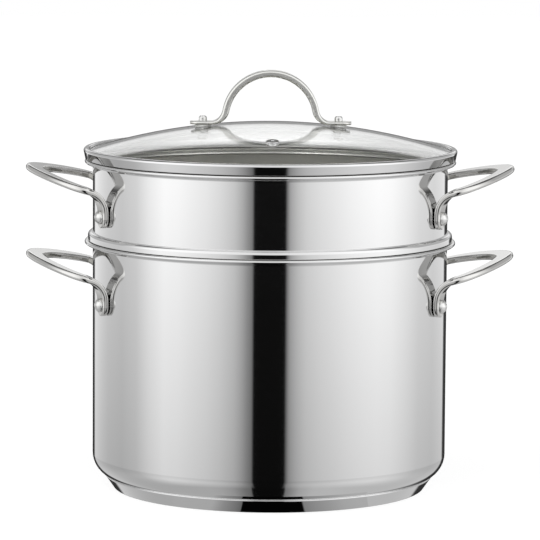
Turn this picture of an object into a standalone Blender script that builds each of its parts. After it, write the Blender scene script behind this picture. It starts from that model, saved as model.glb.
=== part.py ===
"""Pasta pot with a lift-out strainer insert and a domed glass lid.

Metres, +Z up. The origin is the centre of the base's underside, the loop
handles lie along X and the lid's steam vent faces -Y.
"""
import math

import bmesh
import bpy
from mathutils import Matrix, Vector
from mathutils.geometry import interpolate_bezier

# Fits
GAP = 0.0003                    # between pieces that touch
SHANK_PLAY = 0.0003             # round a rivet or screw shank, on the radius
BASKET_PLAY = 0.0016            # between the basket and the rivet heads inside the pot
SKIRT_PLAY = 0.0018             # between the lid's skirt and the insert's wall

# Sheet steel shared by the pot and the insert
BORE = 0.240                    # inside diameter of the pot and of the insert's upper wall
SHEET = 0.0008
RIM_REACH = 0.0055              # how far a rim stands out from the wall
RIM_THICKNESS = 0.0024
RIM_FILLET = 0.0018
RIM_MOUTH_ROUND = 0.0012

# Pot and its capsule base
POT_RIM_HEIGHT = 0.1697         # top of the pot's rim above the table
POT_CORNER_RADIUS = 0.0158
BASE_HEIGHT = 0.0077            # pot's underside above the table
BASE_INSET = 0.0145             # base's underside, in from the wall
BASE_FLARE = 0.0065             # how much the base cap widens up to its seam
BASE_EDGE_ROUND = 0.0008

# Strainer insert
INSERT_BAND_HEIGHT = 0.0549     # from the pot's rim to the insert's rim
BEAD_REACH = 0.0033
BEAD_HEIGHT = 0.0055
BEAD_ROUND = 0.0024
BEAD_EDGE_ROUND = 0.0004
BASKET_DEPTH = 0.1277           # from the pot's rim down to the basket's underside
BASKET_CORNER_RADIUS = 0.012
BASKET_NECK_ROUND = 0.0015      # where the bead's underside turns down into the basket

# Drain holes
HOLE_DIAMETER = 0.0055
HOLES_AROUND = 24
HOLE_ROWS = 4
HOLES_TOP_MARGIN = 0.022        # from the bead's underside to the highest row
HOLES_LOW_MARGIN = 0.009        # from the basket's corner to the lowest row
FLOOR_RINGS = 3
FLOOR_HOLES_PER_RING = 6        # ring n has n times this many
FLOOR_MARGIN = 0.012            # from the basket's corner to the outer floor ring

# Loop handles, one pattern for the pot and the insert
STRAP_WIDTH = 0.0125
STRAP_THICKNESS = 0.0043
STRAP_EDGE_ROUND = 0.0019
FOOT_ANGLE = math.radians(24)   # each foot, round from the X axis
FOOT_TOE = 0.0073               # from the rivet down to the foot's tip
LEG_RISE = 0.0030               # from the rivet up to the start of the bend
LEG_BEND_RADIUS = 0.0157
LOOP_SLOPE = math.radians(15.3)
HANDLE_REACH = 0.0455           # from the wall to the loop's tip
LOOP_SHOULDER = 0.009           # how far the strap runs straight out from the leg
LOOP_TIP_ARM = 0.024            # how flat the loop's tip is
POT_RIVET_DROP = 0.0392         # from the pot's rim down to its rivets
INSERT_RIVET_DROP = 0.0349      # from the insert's rim down to its rivets

# Rivets
RIVET_SHANK_DIAMETER = 0.005
RIVET_HEAD_DIAMETER = 0.0092
RIVET_HEAD_HEIGHT = 0.0034
RIVET_HEAD_EDGE = 0.0006
RIVET_INNER_DIAMETER = 0.009
RIVET_INNER_HEIGHT = 0.0012

# Lid
LID_HEIGHT = 0.0249             # from the insert's rim to the top of the glass
GLASS_THICKNESS = 0.004
LID_SHEET = 0.0008
SKIRT_DEPTH = 0.0052            # below the insert's rim
BAND_OVERHANG = 0.0012          # how far the band stands out past the insert's rim
BAND_THICKNESS = 0.0026
BAND_TAPER = 0.0015             # how much the band narrows down to its lower edge
BAND_LIFT = 0.0007              # band's lower edge above the insert's rim
BAND_TOP_ROUND = 0.0018
LIP_THICKNESS = 0.0016          # band's lip over the glass
GLASS_GRIP = 0.0014             # how far the lip reaches in over the glass

# Lid handle
ARCH_WIDTH = 0.0125
ARCH_THICKNESS = 0.0045
ARCH_FOOT_THICKNESS = 0.0022
ARCH_EDGE_ROUND = 0.0014
ARCH_RADIUS = 0.031
ARCH_BEND_RADIUS = 0.010
ARCH_RISE = 0.0335              # from the foot's centreline to the arch's
ARCH_TAIL = 0.01465             # straight foot, past the bend
ARCH_SCREW_SETBACK = 0.0088     # from the foot's tip to the screw
FOOT_PAD_THICKNESS = 0.0010     # silicone between foot and glass, at the screw

# Lid fasteners
SCREW_DIAMETER = 0.0034
SCREW_HEAD_DIAMETER = 0.007
SCREW_HEAD_HEIGHT = 0.0022
SCREW_REACH = 0.0018            # into the cap nut
NUT_DIAMETER = 0.0056
NUT_HEIGHT = 0.0032
PAD_DIAMETER = 0.011
LOWER_PAD_THICKNESS = 0.001
WASHER_DIAMETER = 0.010
WASHER_THICKNESS = 0.001

# Steam vent
VENT_RADIUS = 0.075             # from the lid's centre
VENT_FLANGE_DIAMETER = 0.009
VENT_FLANGE_THICKNESS = 0.0008
VENT_TUBE_DIAMETER = 0.006
VENT_BORE = 0.0027

# Facets
WALL_SEGMENTS = 48
SMALL_SEGMENTS = 12
ROUND_STEPS = 3
DOME_STEPS = 5
BEND_STEPS = 4
LOOP_STEPS = 7
HOLE_SIDES = 6
SMOOTH_ANGLE = math.radians(35)
MERGE_DISTANCE = 0.00001
CUTTER_OVERRUN = 0.004          # how far a cutter runs past what it cuts

# Worked out from the sizes above
WALL_INNER = BORE / 2
WALL_OUTER = WALL_INNER + SHEET
FACET_INSET = math.cos(math.pi / WALL_SEGMENTS)
RIM_TIP = WALL_OUTER + RIM_REACH
INSERT_RIM_HEIGHT = POT_RIM_HEIGHT + INSERT_BAND_HEIGHT
BEAD_SEAT = POT_RIM_HEIGHT + GAP
POT_RIVET_HEIGHT = POT_RIM_HEIGHT - POT_RIVET_DROP
INSERT_RIVET_HEIGHT = INSERT_RIM_HEIGHT - INSERT_RIVET_DROP
LEG_CENTRE = WALL_OUTER + GAP + STRAP_THICKNESS / 2
RIVET_HEAD_SEAT = LEG_CENTRE + STRAP_THICKNESS / 2 + GAP
RIVET_INNER_SEAT = math.sqrt((WALL_INNER * FACET_INSET)**2 - (RIVET_INNER_DIAMETER / 2)**2) - GAP
BASKET_OUTER = RIVET_INNER_SEAT - RIVET_INNER_HEIGHT - BASKET_PLAY
BASKET_UNDERSIDE = POT_RIM_HEIGHT - BASKET_DEPTH

BAND_OUTER = RIM_TIP + BAND_OVERHANG
BAND_INNER = BAND_OUTER - BAND_THICKNESS
GLASS_EDGE = BAND_INNER - GAP
LID_SEAT = INSERT_RIM_HEIGHT + GAP
GLASS_SEAT = LID_SEAT + LID_SHEET + GAP
GLASS_TOP = INSERT_RIM_HEIGHT + LID_HEIGHT
GLASS_SAG = GLASS_TOP - GLASS_THICKNESS - GLASS_SEAT
DOME_INNER = (GLASS_EDGE**2 + GLASS_SAG**2) / (2 * GLASS_SAG)
DOME_OUTER = DOME_INNER + GLASS_THICKNESS
DOME_CENTRE = GLASS_TOP - DOME_OUTER

FOOT_BEND_X = math.sqrt((ARCH_RADIUS + ARCH_BEND_RADIUS)**2
                        - (ARCH_RISE - ARCH_RADIUS - ARCH_BEND_RADIUS)**2)
ARCH_TIP_X = FOOT_BEND_X + ARCH_TAIL
SCREW_X = ARCH_TIP_X - ARCH_SCREW_SETBACK


def dome_height(radius, sphere):
    """Height, at this distance from the lid's axis, of a sphere about the dome's centre."""
    return DOME_CENTRE + math.sqrt(sphere**2 - radius**2)


FOOT_UNDERSIDE = dome_height(SCREW_X, DOME_OUTER) + FOOT_PAD_THICKNESS + 2 * GAP
FOOT_CENTRE_HEIGHT = FOOT_UNDERSIDE + ARCH_FOOT_THICKNESS / 2
FOOT_TOP = FOOT_UNDERSIDE + ARCH_FOOT_THICKNESS


# Profiles
def arc(centre, radius, start, end, steps=ROUND_STEPS):
    """Points on an arc in the (radius, height) plane, angles in degrees."""
    points = []
    for step in range(steps + 1):
        angle = math.radians(start + (end - start) * step / steps)
        points.append((centre[0] + radius * math.cos(angle), centre[1] + radius * math.sin(angle)))
    return points


def rim_profile(top):
    """From the inner wall over a flared rim to the outer wall."""
    edge = RIM_THICKNESS / 2
    underside = top - RIM_THICKNESS
    mouth = arc((WALL_INNER + RIM_MOUTH_ROUND, top - RIM_MOUTH_ROUND), RIM_MOUTH_ROUND, 180, 90, 2)
    tip = arc((RIM_TIP - edge, top - edge), edge, 90, -90)
    fillet = arc((WALL_OUTER + RIM_FILLET, underside - RIM_FILLET), RIM_FILLET, 90, 180, 3)
    return mouth + tip + fillet


def dome_arc(sphere, inner, outer, steps):
    """Points on a sphere about the dome's centre, between two radii."""
    points = []
    for step in range(steps + 1):
        radius = inner + (outer - inner) * step / steps
        points.append((radius, dome_height(radius, sphere)))
    return points


# Building
def clear_scene():
    for item in list(bpy.data.objects):
        bpy.data.objects.remove(item)


def new_collection(name):
    collection = bpy.data.collections.new(name)
    bpy.context.scene.collection.children.link(collection)
    return collection


def new_material(name, colour, roughness, metallic, alpha=1.0):
    material = bpy.data.materials.new(name)
    material.use_nodes = True
    shader = material.node_tree.nodes["Principled BSDF"]
    shader.inputs["Base Color"].default_value = (*colour, 1.0)
    shader.inputs["Roughness"].default_value = roughness
    shader.inputs["Metallic"].default_value = metallic
    shader.inputs["Alpha"].default_value = alpha
    return material


def new_object(name, data, collection):
    item = bpy.data.objects.new(name, data)
    collection.objects.link(item)
    return item


def evaluated_mesh(item):
    """The object's mesh with its modifiers applied, and its caps welded."""
    bpy.context.view_layer.update()
    graph = bpy.context.evaluated_depsgraph_get()
    mesh = bpy.data.meshes.new_from_object(item.evaluated_get(graph))
    solid = bmesh.new()
    solid.from_mesh(mesh)
    bmesh.ops.remove_doubles(solid, verts=solid.verts, dist=MERGE_DISTANCE)
    solid.to_mesh(mesh)
    solid.free()
    return mesh


def settled(item):
    """Take an object out of the scene and return its shape as a smooth-shaded mesh."""
    mesh = evaluated_mesh(item)
    mesh.shade_smooth()
    mesh.set_sharp_from_angle(angle=SMOOTH_ANGLE)
    mesh.name = item.name
    bpy.data.objects.remove(item)
    return mesh


def turned(name, profile, closed=True, segments=WALL_SEGMENTS):
    """A profile in the XZ plane, turned about Z."""
    mesh = bpy.data.meshes.new(name)
    edges = [(index, index + 1) for index in range(len(profile) - 1)]
    if closed:
        edges.append((len(profile) - 1, 0))
    mesh.from_pydata([(radius, 0, height) for radius, height in profile], edges, [])
    item = new_object(name, mesh, WORKSHOP)
    screw = item.modifiers.new("Turn", "SCREW")
    screw.steps = segments
    screw.render_steps = segments
    screw.use_merge_vertices = True
    screw.merge_threshold = MERGE_DISTANCE
    return item


def cylinder(name, diameter, length, sides, places):
    """One cutter of several cylinders, each centred at a place given as a matrix."""
    solid = bmesh.new()
    for place in places:
        bmesh.ops.create_cone(solid, cap_ends=True, segments=sides, radius1=diameter / 2,
                              radius2=diameter / 2, depth=length, matrix=place)
    mesh = bpy.data.meshes.new(name)
    solid.to_mesh(mesh)
    solid.free()
    return cutter(name, mesh)


def cutter(name, data):
    """A tool or guide that isn't part of the object."""
    item = new_object(name, data, WORKSHOP)
    item.hide_render = True
    item.display_type = "WIRE"
    return item


def cut(item, tool):
    boolean = item.modifiers.new("Cut " + tool.name, "BOOLEAN")
    boolean.operation = "DIFFERENCE"
    boolean.solver = "EXACT"
    boolean.object = tool


def outline_curve(name, points, half_depth):
    """A flat outline, filled and given thickness on both sides of its plane."""
    curve = bpy.data.curves.new(name, "CURVE")
    curve.dimensions = "2D"
    curve.fill_mode = "BOTH"
    curve.extrude = half_depth
    add_poly_spline(curve, [(x, y, 0) for x, y in points], True)
    return new_object(name, curve, WORKSHOP)


def add_poly_spline(curve, points, closed):
    spline = curve.splines.new("POLY")
    spline.points.add(len(points) - 1)
    for knot, point in zip(spline.points, points):
        knot.co = (*point, 1)
    spline.use_cyclic_u = closed
    return spline


def place(name, mesh, material, body, location=(0, 0, 0), rotation=(0, 0, 0)):
    """Put one piece of the object in its body."""
    item = new_object(name, mesh, PASTA_POT)
    if not mesh.materials:
        mesh.materials.append(material)
    item.parent = body
    item.location = Vector(location) - body.location
    item.rotation_euler = rotation
    return item


def new_body(name, height):
    """An empty on the upright axis that carries the pieces which lift together."""
    body = new_object(name, None, PASTA_POT)
    body.location = (0, 0, height)
    return body


def around(radius, angle, height):
    return Vector((radius * math.cos(angle), radius * math.sin(angle), height))


def radial_place(radius, angle, height):
    """Place and turn, so that local +Z points straight out from the upright axis."""
    turn = Matrix.Rotation(angle, 4, "Z") @ Matrix.Rotation(math.pi / 2, 4, "Y")
    return Matrix.Translation(around(radius, angle, height)) @ turn


# Pot and base
def foot_angles():
    """Each handle foot's name and its angle round the upright axis."""
    return {
        "right_front": -FOOT_ANGLE,
        "right_rear": FOOT_ANGLE,
        "left_front": math.pi + FOOT_ANGLE,
        "left_rear": math.pi - FOOT_ANGLE,
    }


def rivet_hole_cutter(name, height):
    places = [radial_place(WALL_OUTER, angle, height) for angle in foot_angles().values()]
    diameter = RIVET_SHANK_DIAMETER + 2 * SHANK_PLAY
    return cylinder(name, diameter, 2 * CUTTER_OVERRUN, SMALL_SEGMENTS, places)


def pot_corner_height(radius):
    """Height of the pot's outside, on the corner between wall and bottom."""
    run = radius - (WALL_OUTER - POT_CORNER_RADIUS)
    return BASE_HEIGHT + POT_CORNER_RADIUS - math.sqrt(POT_CORNER_RADIUS**2 - run**2)


def pot_body_mesh():
    corner = (WALL_OUTER - POT_CORNER_RADIUS, BASE_HEIGHT + POT_CORNER_RADIUS)
    profile = [(0, BASE_HEIGHT + SHEET)]
    profile += arc(corner, POT_CORNER_RADIUS - SHEET, -90, 0, ROUND_STEPS + 1)
    profile += rim_profile(POT_RIM_HEIGHT)
    profile += arc(corner, POT_CORNER_RADIUS, 0, -90, ROUND_STEPS + 1)
    profile.append((0, BASE_HEIGHT))
    item = turned("pot_body", profile, closed=False)
    cut(item, rivet_hole_cutter("pot rivet holes", POT_RIVET_HEIGHT))
    return settled(item)


def base_cap_mesh():
    """A cup round the core. Its edge stops short of the pot's rounded corner."""
    bottom = WALL_OUTER - BASE_INSET
    top = bottom + BASE_FLARE
    edge_height = pot_corner_height(top - SHEET) - GAP
    profile = [(0, SHEET)]
    profile.append((bottom - SHEET, SHEET))
    profile.append((top - SHEET, edge_height))
    profile.append((top, edge_height))
    profile.append((bottom, BASE_EDGE_ROUND))
    profile.append((bottom - BASE_EDGE_ROUND, 0))
    profile.append((0, 0))
    return settled(turned("base_cap", profile, closed=False))


def base_core_mesh():
    low = SHEET + GAP
    high = BASE_HEIGHT - GAP
    radius = WALL_OUTER - BASE_INSET - SHEET - GAP
    profile = [(0, high), (radius, high), (radius, low), (0, low)]
    return settled(turned("base_core", profile, closed=False))


# Insert
def basket_hole_places():
    """Staggered rows round the wall, then rings and a centre hole in the floor."""
    top = BEAD_SEAT - HOLES_TOP_MARGIN
    low = BASKET_UNDERSIDE + BASKET_CORNER_RADIUS + HOLES_LOW_MARGIN
    facet = 2 * math.pi / WALL_SEGMENTS
    places = []
    for row in range(HOLE_ROWS):
        height = low + (top - low) * row / (HOLE_ROWS - 1)
        shift = facet / 2 + facet * (row % 2)
        for index in range(HOLES_AROUND):
            angle = shift + 2 * math.pi * index / HOLES_AROUND
            places.append(radial_place(BASKET_OUTER, angle, height))
    outer_ring = BASKET_OUTER - BASKET_CORNER_RADIUS - FLOOR_MARGIN
    places.append(Matrix.Translation((0, 0, BASKET_UNDERSIDE)))
    for ring in range(1, FLOOR_RINGS + 1):
        count = FLOOR_HOLES_PER_RING * ring
        for index in range(count):
            angle = 2 * math.pi * (index + 0.5) / count
            radius = outer_ring * ring / FLOOR_RINGS
            places.append(Matrix.Translation(around(radius, angle, BASKET_UNDERSIDE)))
    return places


def insert_basket_mesh():
    bead_outer = WALL_OUTER + BEAD_REACH
    bead_top = BEAD_SEAT + BEAD_HEIGHT
    shoulder = (bead_outer - BEAD_ROUND, bead_top - BEAD_ROUND)
    corner = (BASKET_OUTER - BASKET_CORNER_RADIUS, BASKET_UNDERSIDE + BASKET_CORNER_RADIUS)
    neck = (BASKET_OUTER + BASKET_NECK_ROUND, BEAD_SEAT - BASKET_NECK_ROUND)
    profile = [(0, BASKET_UNDERSIDE + SHEET)]
    profile += arc(corner, BASKET_CORNER_RADIUS - SHEET, -90, 0)
    profile += arc(neck, BASKET_NECK_ROUND + SHEET, 180, 90, 2)
    profile.append((bead_outer - SHEET, BEAD_SEAT + SHEET))
    profile += arc(shoulder, BEAD_ROUND - SHEET, 0, 90, 2)
    profile.append((WALL_INNER, bead_top - SHEET))
    profile += rim_profile(INSERT_RIM_HEIGHT)
    profile.append((WALL_OUTER, bead_top))
    profile += arc(shoulder, BEAD_ROUND, 90, 0, 3)
    profile.append((bead_outer, BEAD_SEAT + BEAD_EDGE_ROUND))
    profile.append((bead_outer - BEAD_EDGE_ROUND, BEAD_SEAT))
    profile += arc(neck, BASKET_NECK_ROUND, 90, 180, 2)
    profile += arc(corner, BASKET_CORNER_RADIUS, 0, -90)
    profile.append((0, BASKET_UNDERSIDE))
    item = turned("insert_basket", profile, closed=False)
    cut(item, rivet_hole_cutter("insert rivet holes", INSERT_RIVET_HEIGHT))
    holes = cylinder("drain holes", HOLE_DIAMETER, 2 * CUTTER_OVERRUN, HOLE_SIDES, basket_hole_places())
    cut(item, holes)
    return settled(item)


# Loop handles
def strap_section():
    """The strap's cross-section: a flat bar with its long edges eased."""
    half_width = STRAP_WIDTH / 2
    half_height = STRAP_THICKNESS / 2
    ease = STRAP_EDGE_ROUND
    section = bpy.data.curves.new("strap section", "CURVE")
    corners = [
        (half_width, ease - half_height), (half_width - ease, -half_height),
        (ease - half_width, -half_height), (-half_width, ease - half_height),
        (-half_width, half_height - ease), (ease - half_width, half_height),
        (half_width - ease, half_height), (half_width, half_height - ease),
    ]
    add_poly_spline(section, [(x, y, 0) for x, y in corners], True)
    return cutter("strap section", section)


def leg_climb():
    """Angle above level at which each leg's bend meets the sloping loop."""
    return math.atan(math.tan(LOOP_SLOPE) * math.cos(FOOT_ANGLE))


def half_handle_path():
    """Centreline from the front foot, up the leg, round its bend and out to the loop's tip."""
    out = around(1, -FOOT_ANGLE, 0)
    turn = math.pi / 2 - leg_climb()
    path = [out * LEG_CENTRE + Vector((0, 0, -FOOT_TOE))]
    for step in range(BEND_STEPS + 1):
        angle = turn * step / BEND_STEPS
        distance = LEG_CENTRE + LEG_BEND_RADIUS * (1 - math.cos(angle))
        height = LEG_RISE + LEG_BEND_RADIUS * math.sin(angle)
        path.append(out * distance + Vector((0, 0, height)))
    start = path[-1]
    tip_x = WALL_OUTER + HANDLE_REACH - STRAP_WIDTH / 2 * math.cos(LOOP_SLOPE)
    flat_start = Vector((start.x, start.y, 0))
    shoulder = flat_start + out * LOOP_SHOULDER
    flat_tip = Vector((tip_x, 0, 0))
    arm = Vector((tip_x, -LOOP_TIP_ARM, 0))
    for point in interpolate_bezier(flat_start, shoulder, arm, flat_tip, LOOP_STEPS + 1)[1:]:
        point.z = start.z + math.tan(LOOP_SLOPE) * (point.x - start.x)
        path.append(point)
    return path


def tangents_along(path):
    """Direction of the path at each point: the mean of the stretches that meet there."""
    runs = [(after - before).normalized() for before, after in zip(path, path[1:])]
    inner = [(before + after).normalized() for before, after in zip(runs, runs[1:])]
    return [runs[0]] + inner + [runs[-1]]


def half_handle_widths(path, tangents):
    """Which way the strap is wide: across the radius in the legs, in the slope's plane in the loop."""
    leg_width = around(1, math.pi / 2 - FOOT_ANGLE, 0)
    loop_normal = Vector((-math.sin(LOOP_SLOPE), 0, math.cos(LOOP_SLOPE)))
    widths = []
    for index in range(len(path)):
        share = min(max(index - 1, 0) / BEND_STEPS, 1)
        widths.append(leg_width.lerp(loop_normal.cross(tangents[index]), share))
    return widths


def tilts_for(tangents, widths):
    """Tilts that turn a swept section, which starts straight up, so that its X axis follows the widths."""
    carried = Vector((1, 0, 0))
    before = tangents[0]
    tilts = []
    for tangent, width in zip(tangents, widths):
        carried.rotate(before.rotation_difference(tangent))
        tilts.append(math.atan2(tangent.dot(carried.cross(width)), carried.dot(width)))
        before = tangent
    return tilts


def mirrored(vectors):
    """The rear half's vectors, from the loop's tip back to the foot."""
    return [Vector((vector.x, -vector.y, vector.z)) for vector in reversed(vectors[:-1])]


def handle_sweep():
    half = half_handle_path()
    path = half + mirrored(half)
    tangents = tangents_along(path)
    half_widths = half_handle_widths(half, tangents)
    widths = half_widths + mirrored(half_widths)
    curve = bpy.data.curves.new("loop handle", "CURVE")
    curve.dimensions = "3D"
    curve.twist_mode = "MINIMUM"
    curve.bevel_mode = "OBJECT"
    curve.bevel_object = strap_section()
    curve.use_fill_caps = True
    spline = add_poly_spline(curve, path, False)
    for knot, tilt in zip(spline.points, tilts_for(tangents, widths)):
        knot.tilt = tilt
    return new_object("loop handle", curve, WORKSHOP)


def toe_cutter(name, angle):
    """Rounds the tip of one foot: a slab with a half-round notch that the toe keeps."""
    radius = STRAP_WIDTH / 2 - MERGE_DISTANCE
    centre = radius - FOOT_TOE
    wide = STRAP_WIDTH
    deep = centre - radius - CUTTER_OVERRUN
    outline = [(wide, centre), (wide, deep), (-wide, deep), (-wide, centre)]
    outline += arc((0, centre), radius, 180, 360, 2 * ROUND_STEPS)
    slab = outline_curve(name, outline, STRAP_THICKNESS)
    tool = cutter(name, evaluated_mesh(slab))
    bpy.data.objects.remove(slab)
    turn = Matrix.Rotation(angle, 4, "Z") @ Matrix.Rotation(math.pi / 2, 4, "Z")
    turn = turn @ Matrix.Rotation(math.pi / 2, 4, "X")
    tool.matrix_world = Matrix.Translation(around(LEG_CENTRE, angle, 0)) @ turn
    return tool


def loop_handle_mesh():
    """A strap handle on the +X side, with its rivets at height 0."""
    sweep = handle_sweep()
    item = new_object("loop_handle", evaluated_mesh(sweep), WORKSHOP)
    bpy.data.objects.remove(sweep)
    for side in (-1, 1):
        cut(item, toe_cutter("toe %d" % side, side * FOOT_ANGLE))
    places = [radial_place(LEG_CENTRE, side * FOOT_ANGLE, 0) for side in (-1, 1)]
    diameter = RIVET_SHANK_DIAMETER + 2 * SHANK_PLAY
    length = STRAP_THICKNESS + CUTTER_OVERRUN
    cut(item, cylinder("strap rivet holes", diameter, length, SMALL_SEGMENTS, places))
    return settled(item)


def rivet_mesh():
    """A domed rivet along +Z, with its origin on the wall's outer face."""
    seat = RIVET_HEAD_SEAT - WALL_OUTER
    top = seat + RIVET_HEAD_HEIGHT
    inner_top = RIVET_INNER_SEAT - WALL_OUTER
    inner_bottom = inner_top - RIVET_INNER_HEIGHT
    head = RIVET_HEAD_DIAMETER / 2
    rise = RIVET_HEAD_HEIGHT - RIVET_HEAD_EDGE
    sphere = (head**2 + rise**2) / (2 * rise)
    spread = math.degrees(math.asin(head / sphere))
    profile = arc((0, top - sphere), sphere, 90, 90 - spread, ROUND_STEPS)
    profile.append((head, seat))
    profile.append((RIVET_SHANK_DIAMETER / 2, seat))
    profile.append((RIVET_SHANK_DIAMETER / 2, inner_top))
    profile.append((RIVET_INNER_DIAMETER / 2, inner_top))
    profile.append((RIVET_INNER_DIAMETER / 2, inner_top - RIVET_INNER_HEIGHT / 2))
    profile.append((RIVET_INNER_DIAMETER / 2 - RIVET_INNER_HEIGHT / 2, inner_bottom))
    profile.append((0, inner_bottom))
    return settled(turned("rivet", profile, closed=False, segments=SMALL_SEGMENTS))


# Lid
def vent_place():
    """Place and turn of the steam vent: on the dome's front, square to the glass."""
    lean = math.asin(VENT_RADIUS / DOME_OUTER)
    surface = Vector((0, -VENT_RADIUS, dome_height(VENT_RADIUS, DOME_OUTER)))
    return surface, lean


def lid_glass_mesh():
    profile = dome_arc(DOME_OUTER, 0, GLASS_EDGE, DOME_STEPS)
    profile += dome_arc(DOME_INNER, GLASS_EDGE, 0, DOME_STEPS)
    item = turned("lid_glass", profile, closed=False)
    middle = dome_height(SCREW_X, DOME_OUTER) - GLASS_THICKNESS / 2
    screw_places = [Matrix.Translation((side * SCREW_X, 0, middle)) for side in (-1, 1)]
    through = GLASS_THICKNESS + 2 * CUTTER_OVERRUN
    screw_hole = SCREW_DIAMETER + 2 * SHANK_PLAY
    cut(item, cylinder("glass screw holes", screw_hole, through, SMALL_SEGMENTS, screw_places))
    surface, lean = vent_place()
    vent_hole = VENT_TUBE_DIAMETER + 2 * SHANK_PLAY
    vent = Matrix.Translation(surface) @ Matrix.Rotation(lean, 4, "X")
    cut(item, cylinder("glass vent hole", vent_hole, through, SMALL_SEGMENTS, [vent]))
    return settled(item)


def lid_rim_mesh():
    """Steel band: lip over the glass, band, seat on the insert's rim and locating skirt."""
    lip_inner = GLASS_EDGE - GLASS_GRIP
    lip_under = dome_height(lip_inner, DOME_OUTER) + GAP
    lip_top = lip_under + LIP_THICKNESS
    plate_top = LID_SEAT + LID_SHEET
    skirt_outer = WALL_INNER - SKIRT_PLAY
    skirt_inner = skirt_outer - LID_SHEET
    skirt_bottom = INSERT_RIM_HEIGHT - SKIRT_DEPTH
    band_bottom = INSERT_RIM_HEIGHT + BAND_LIFT
    seat_outer = RIM_TIP - RIM_THICKNESS
    profile = [(lip_inner, lip_under + LIP_THICKNESS / 2)]
    profile.append((lip_inner + LIP_THICKNESS / 2, lip_top))
    profile += arc((BAND_OUTER - BAND_TOP_ROUND, lip_top - BAND_TOP_ROUND), BAND_TOP_ROUND, 90, 0)
    profile.append((BAND_OUTER - BAND_TAPER + BAND_LIFT, band_bottom + BAND_LIFT))
    profile.append((BAND_OUTER - BAND_TAPER, band_bottom))
    profile.append((seat_outer, LID_SEAT))
    profile.append((skirt_outer, LID_SEAT))
    profile.append((skirt_outer, skirt_bottom))
    profile.append((skirt_inner, skirt_bottom))
    profile.append((skirt_inner, plate_top))
    profile.append((BAND_INNER, plate_top))
    profile.append((BAND_INNER, dome_height(BAND_INNER, DOME_OUTER) + GAP))
    profile.append((lip_inner, lip_under))
    return settled(turned("lid_rim", profile))


def arch_stations():
    """Centreline, outward normal and half thickness of the arch's right half, foot tip to top."""
    thick = ARCH_THICKNESS / 2
    thin = ARCH_FOOT_THICKNESS / 2
    bend_centre = Vector((FOOT_BEND_X, ARCH_BEND_RADIUS))
    arch_centre = Vector((0, ARCH_RISE - ARCH_RADIUS))
    meet = math.atan2(bend_centre.y - arch_centre.y, bend_centre.x)
    stations = [(Vector((ARCH_TIP_X, 0)), Vector((0, 1)), thin)]
    for step in range(BEND_STEPS + 1):
        part = step / BEND_STEPS
        angle = -math.pi / 2 - (math.pi / 2 - meet) * part
        inward = Vector((math.cos(angle), math.sin(angle)))
        stations.append((bend_centre + inward * ARCH_BEND_RADIUS, -inward, thin + (thick - thin) * part))
    for step in range(1, 2 * BEND_STEPS + 1):
        angle = meet + (math.pi / 2 - meet) * step / (2 * BEND_STEPS)
        outward = Vector((math.cos(angle), math.sin(angle)))
        stations.append((arch_centre + outward * ARCH_RADIUS, outward, thick))
    return stations


def lid_handle_mesh():
    """A bent strap, drawn from the side and given its width along Y."""
    stations = arch_stations()
    upper = [centre + normal * half for centre, normal, half in stations]
    lower = [centre - normal * half for centre, normal, half in stations]
    right = [tuple(point) for point in upper]
    left = [(-x, y) for x, y in reversed(right[:-1])]
    right_lower = [tuple(point) for point in lower]
    left_lower = [(-x, y) for x, y in right_lower[:-1]]
    outline = right + left + left_lower + list(reversed(right_lower))
    drawn = outline_curve("arch outline", outline, ARCH_WIDTH / 2)
    item = new_object("lid_handle", evaluated_mesh(drawn), WORKSHOP)
    bpy.data.objects.remove(drawn)
    item.data.transform(Matrix.Rotation(math.pi / 2, 4, "X"))
    bevel = item.modifiers.new("Eased edges", "BEVEL")
    bevel.width = ARCH_EDGE_ROUND
    bevel.segments = 1
    bevel.limit_method = "ANGLE"
    bevel.angle_limit = math.radians(60)
    places = [Matrix.Translation((side * SCREW_X, 0, 0)) for side in (-1, 1)]
    hole = SCREW_DIAMETER + 2 * SHANK_PLAY
    length = ARCH_FOOT_THICKNESS + CUTTER_OVERRUN
    cut(item, cylinder("arch screw holes", hole, length, SMALL_SEGMENTS, places))
    return settled(item)


# Lid fasteners, each along +Z about the right-hand screw's axis
def pad_mesh(name, low, high):
    """A flat silicone ring. Faces given as a function of the place follow the dome."""
    outer = PAD_DIAMETER / 2
    inner = SCREW_DIAMETER / 2 + SHANK_PLAY
    profile = [(inner, 1), (outer, 1), (outer, 0), (inner, 0)]
    mesh = settled(turned(name, profile, segments=SMALL_SEGMENTS))
    for vertex in mesh.vertices:
        face = high if vertex.co.z > 0.5 else low
        vertex.co.z = face(math.hypot(SCREW_X + vertex.co.x, vertex.co.y))
    return mesh


def upper_pad_mesh():
    return pad_mesh("lid_upper_gasket", lambda radius: dome_height(radius, DOME_OUTER) + GAP,
                    lambda radius: FOOT_UNDERSIDE - GAP)


def lower_pad_underside():
    lowest = SCREW_X + PAD_DIAMETER / 2
    return dome_height(lowest, DOME_INNER) - GAP - LOWER_PAD_THICKNESS


def lower_pad_mesh():
    underside = lower_pad_underside()
    return pad_mesh("lid_lower_gasket", lambda radius: underside,
                    lambda radius: dome_height(radius, DOME_INNER) - GAP)


def washer_mesh():
    top = lower_pad_underside() - GAP
    outer = WASHER_DIAMETER / 2
    inner = SCREW_DIAMETER / 2 + SHANK_PLAY
    profile = [(inner, top), (outer, top), (outer, top - WASHER_THICKNESS), (inner, top - WASHER_THICKNESS)]
    return settled(turned("lid_washer", profile, segments=SMALL_SEGMENTS))


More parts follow.
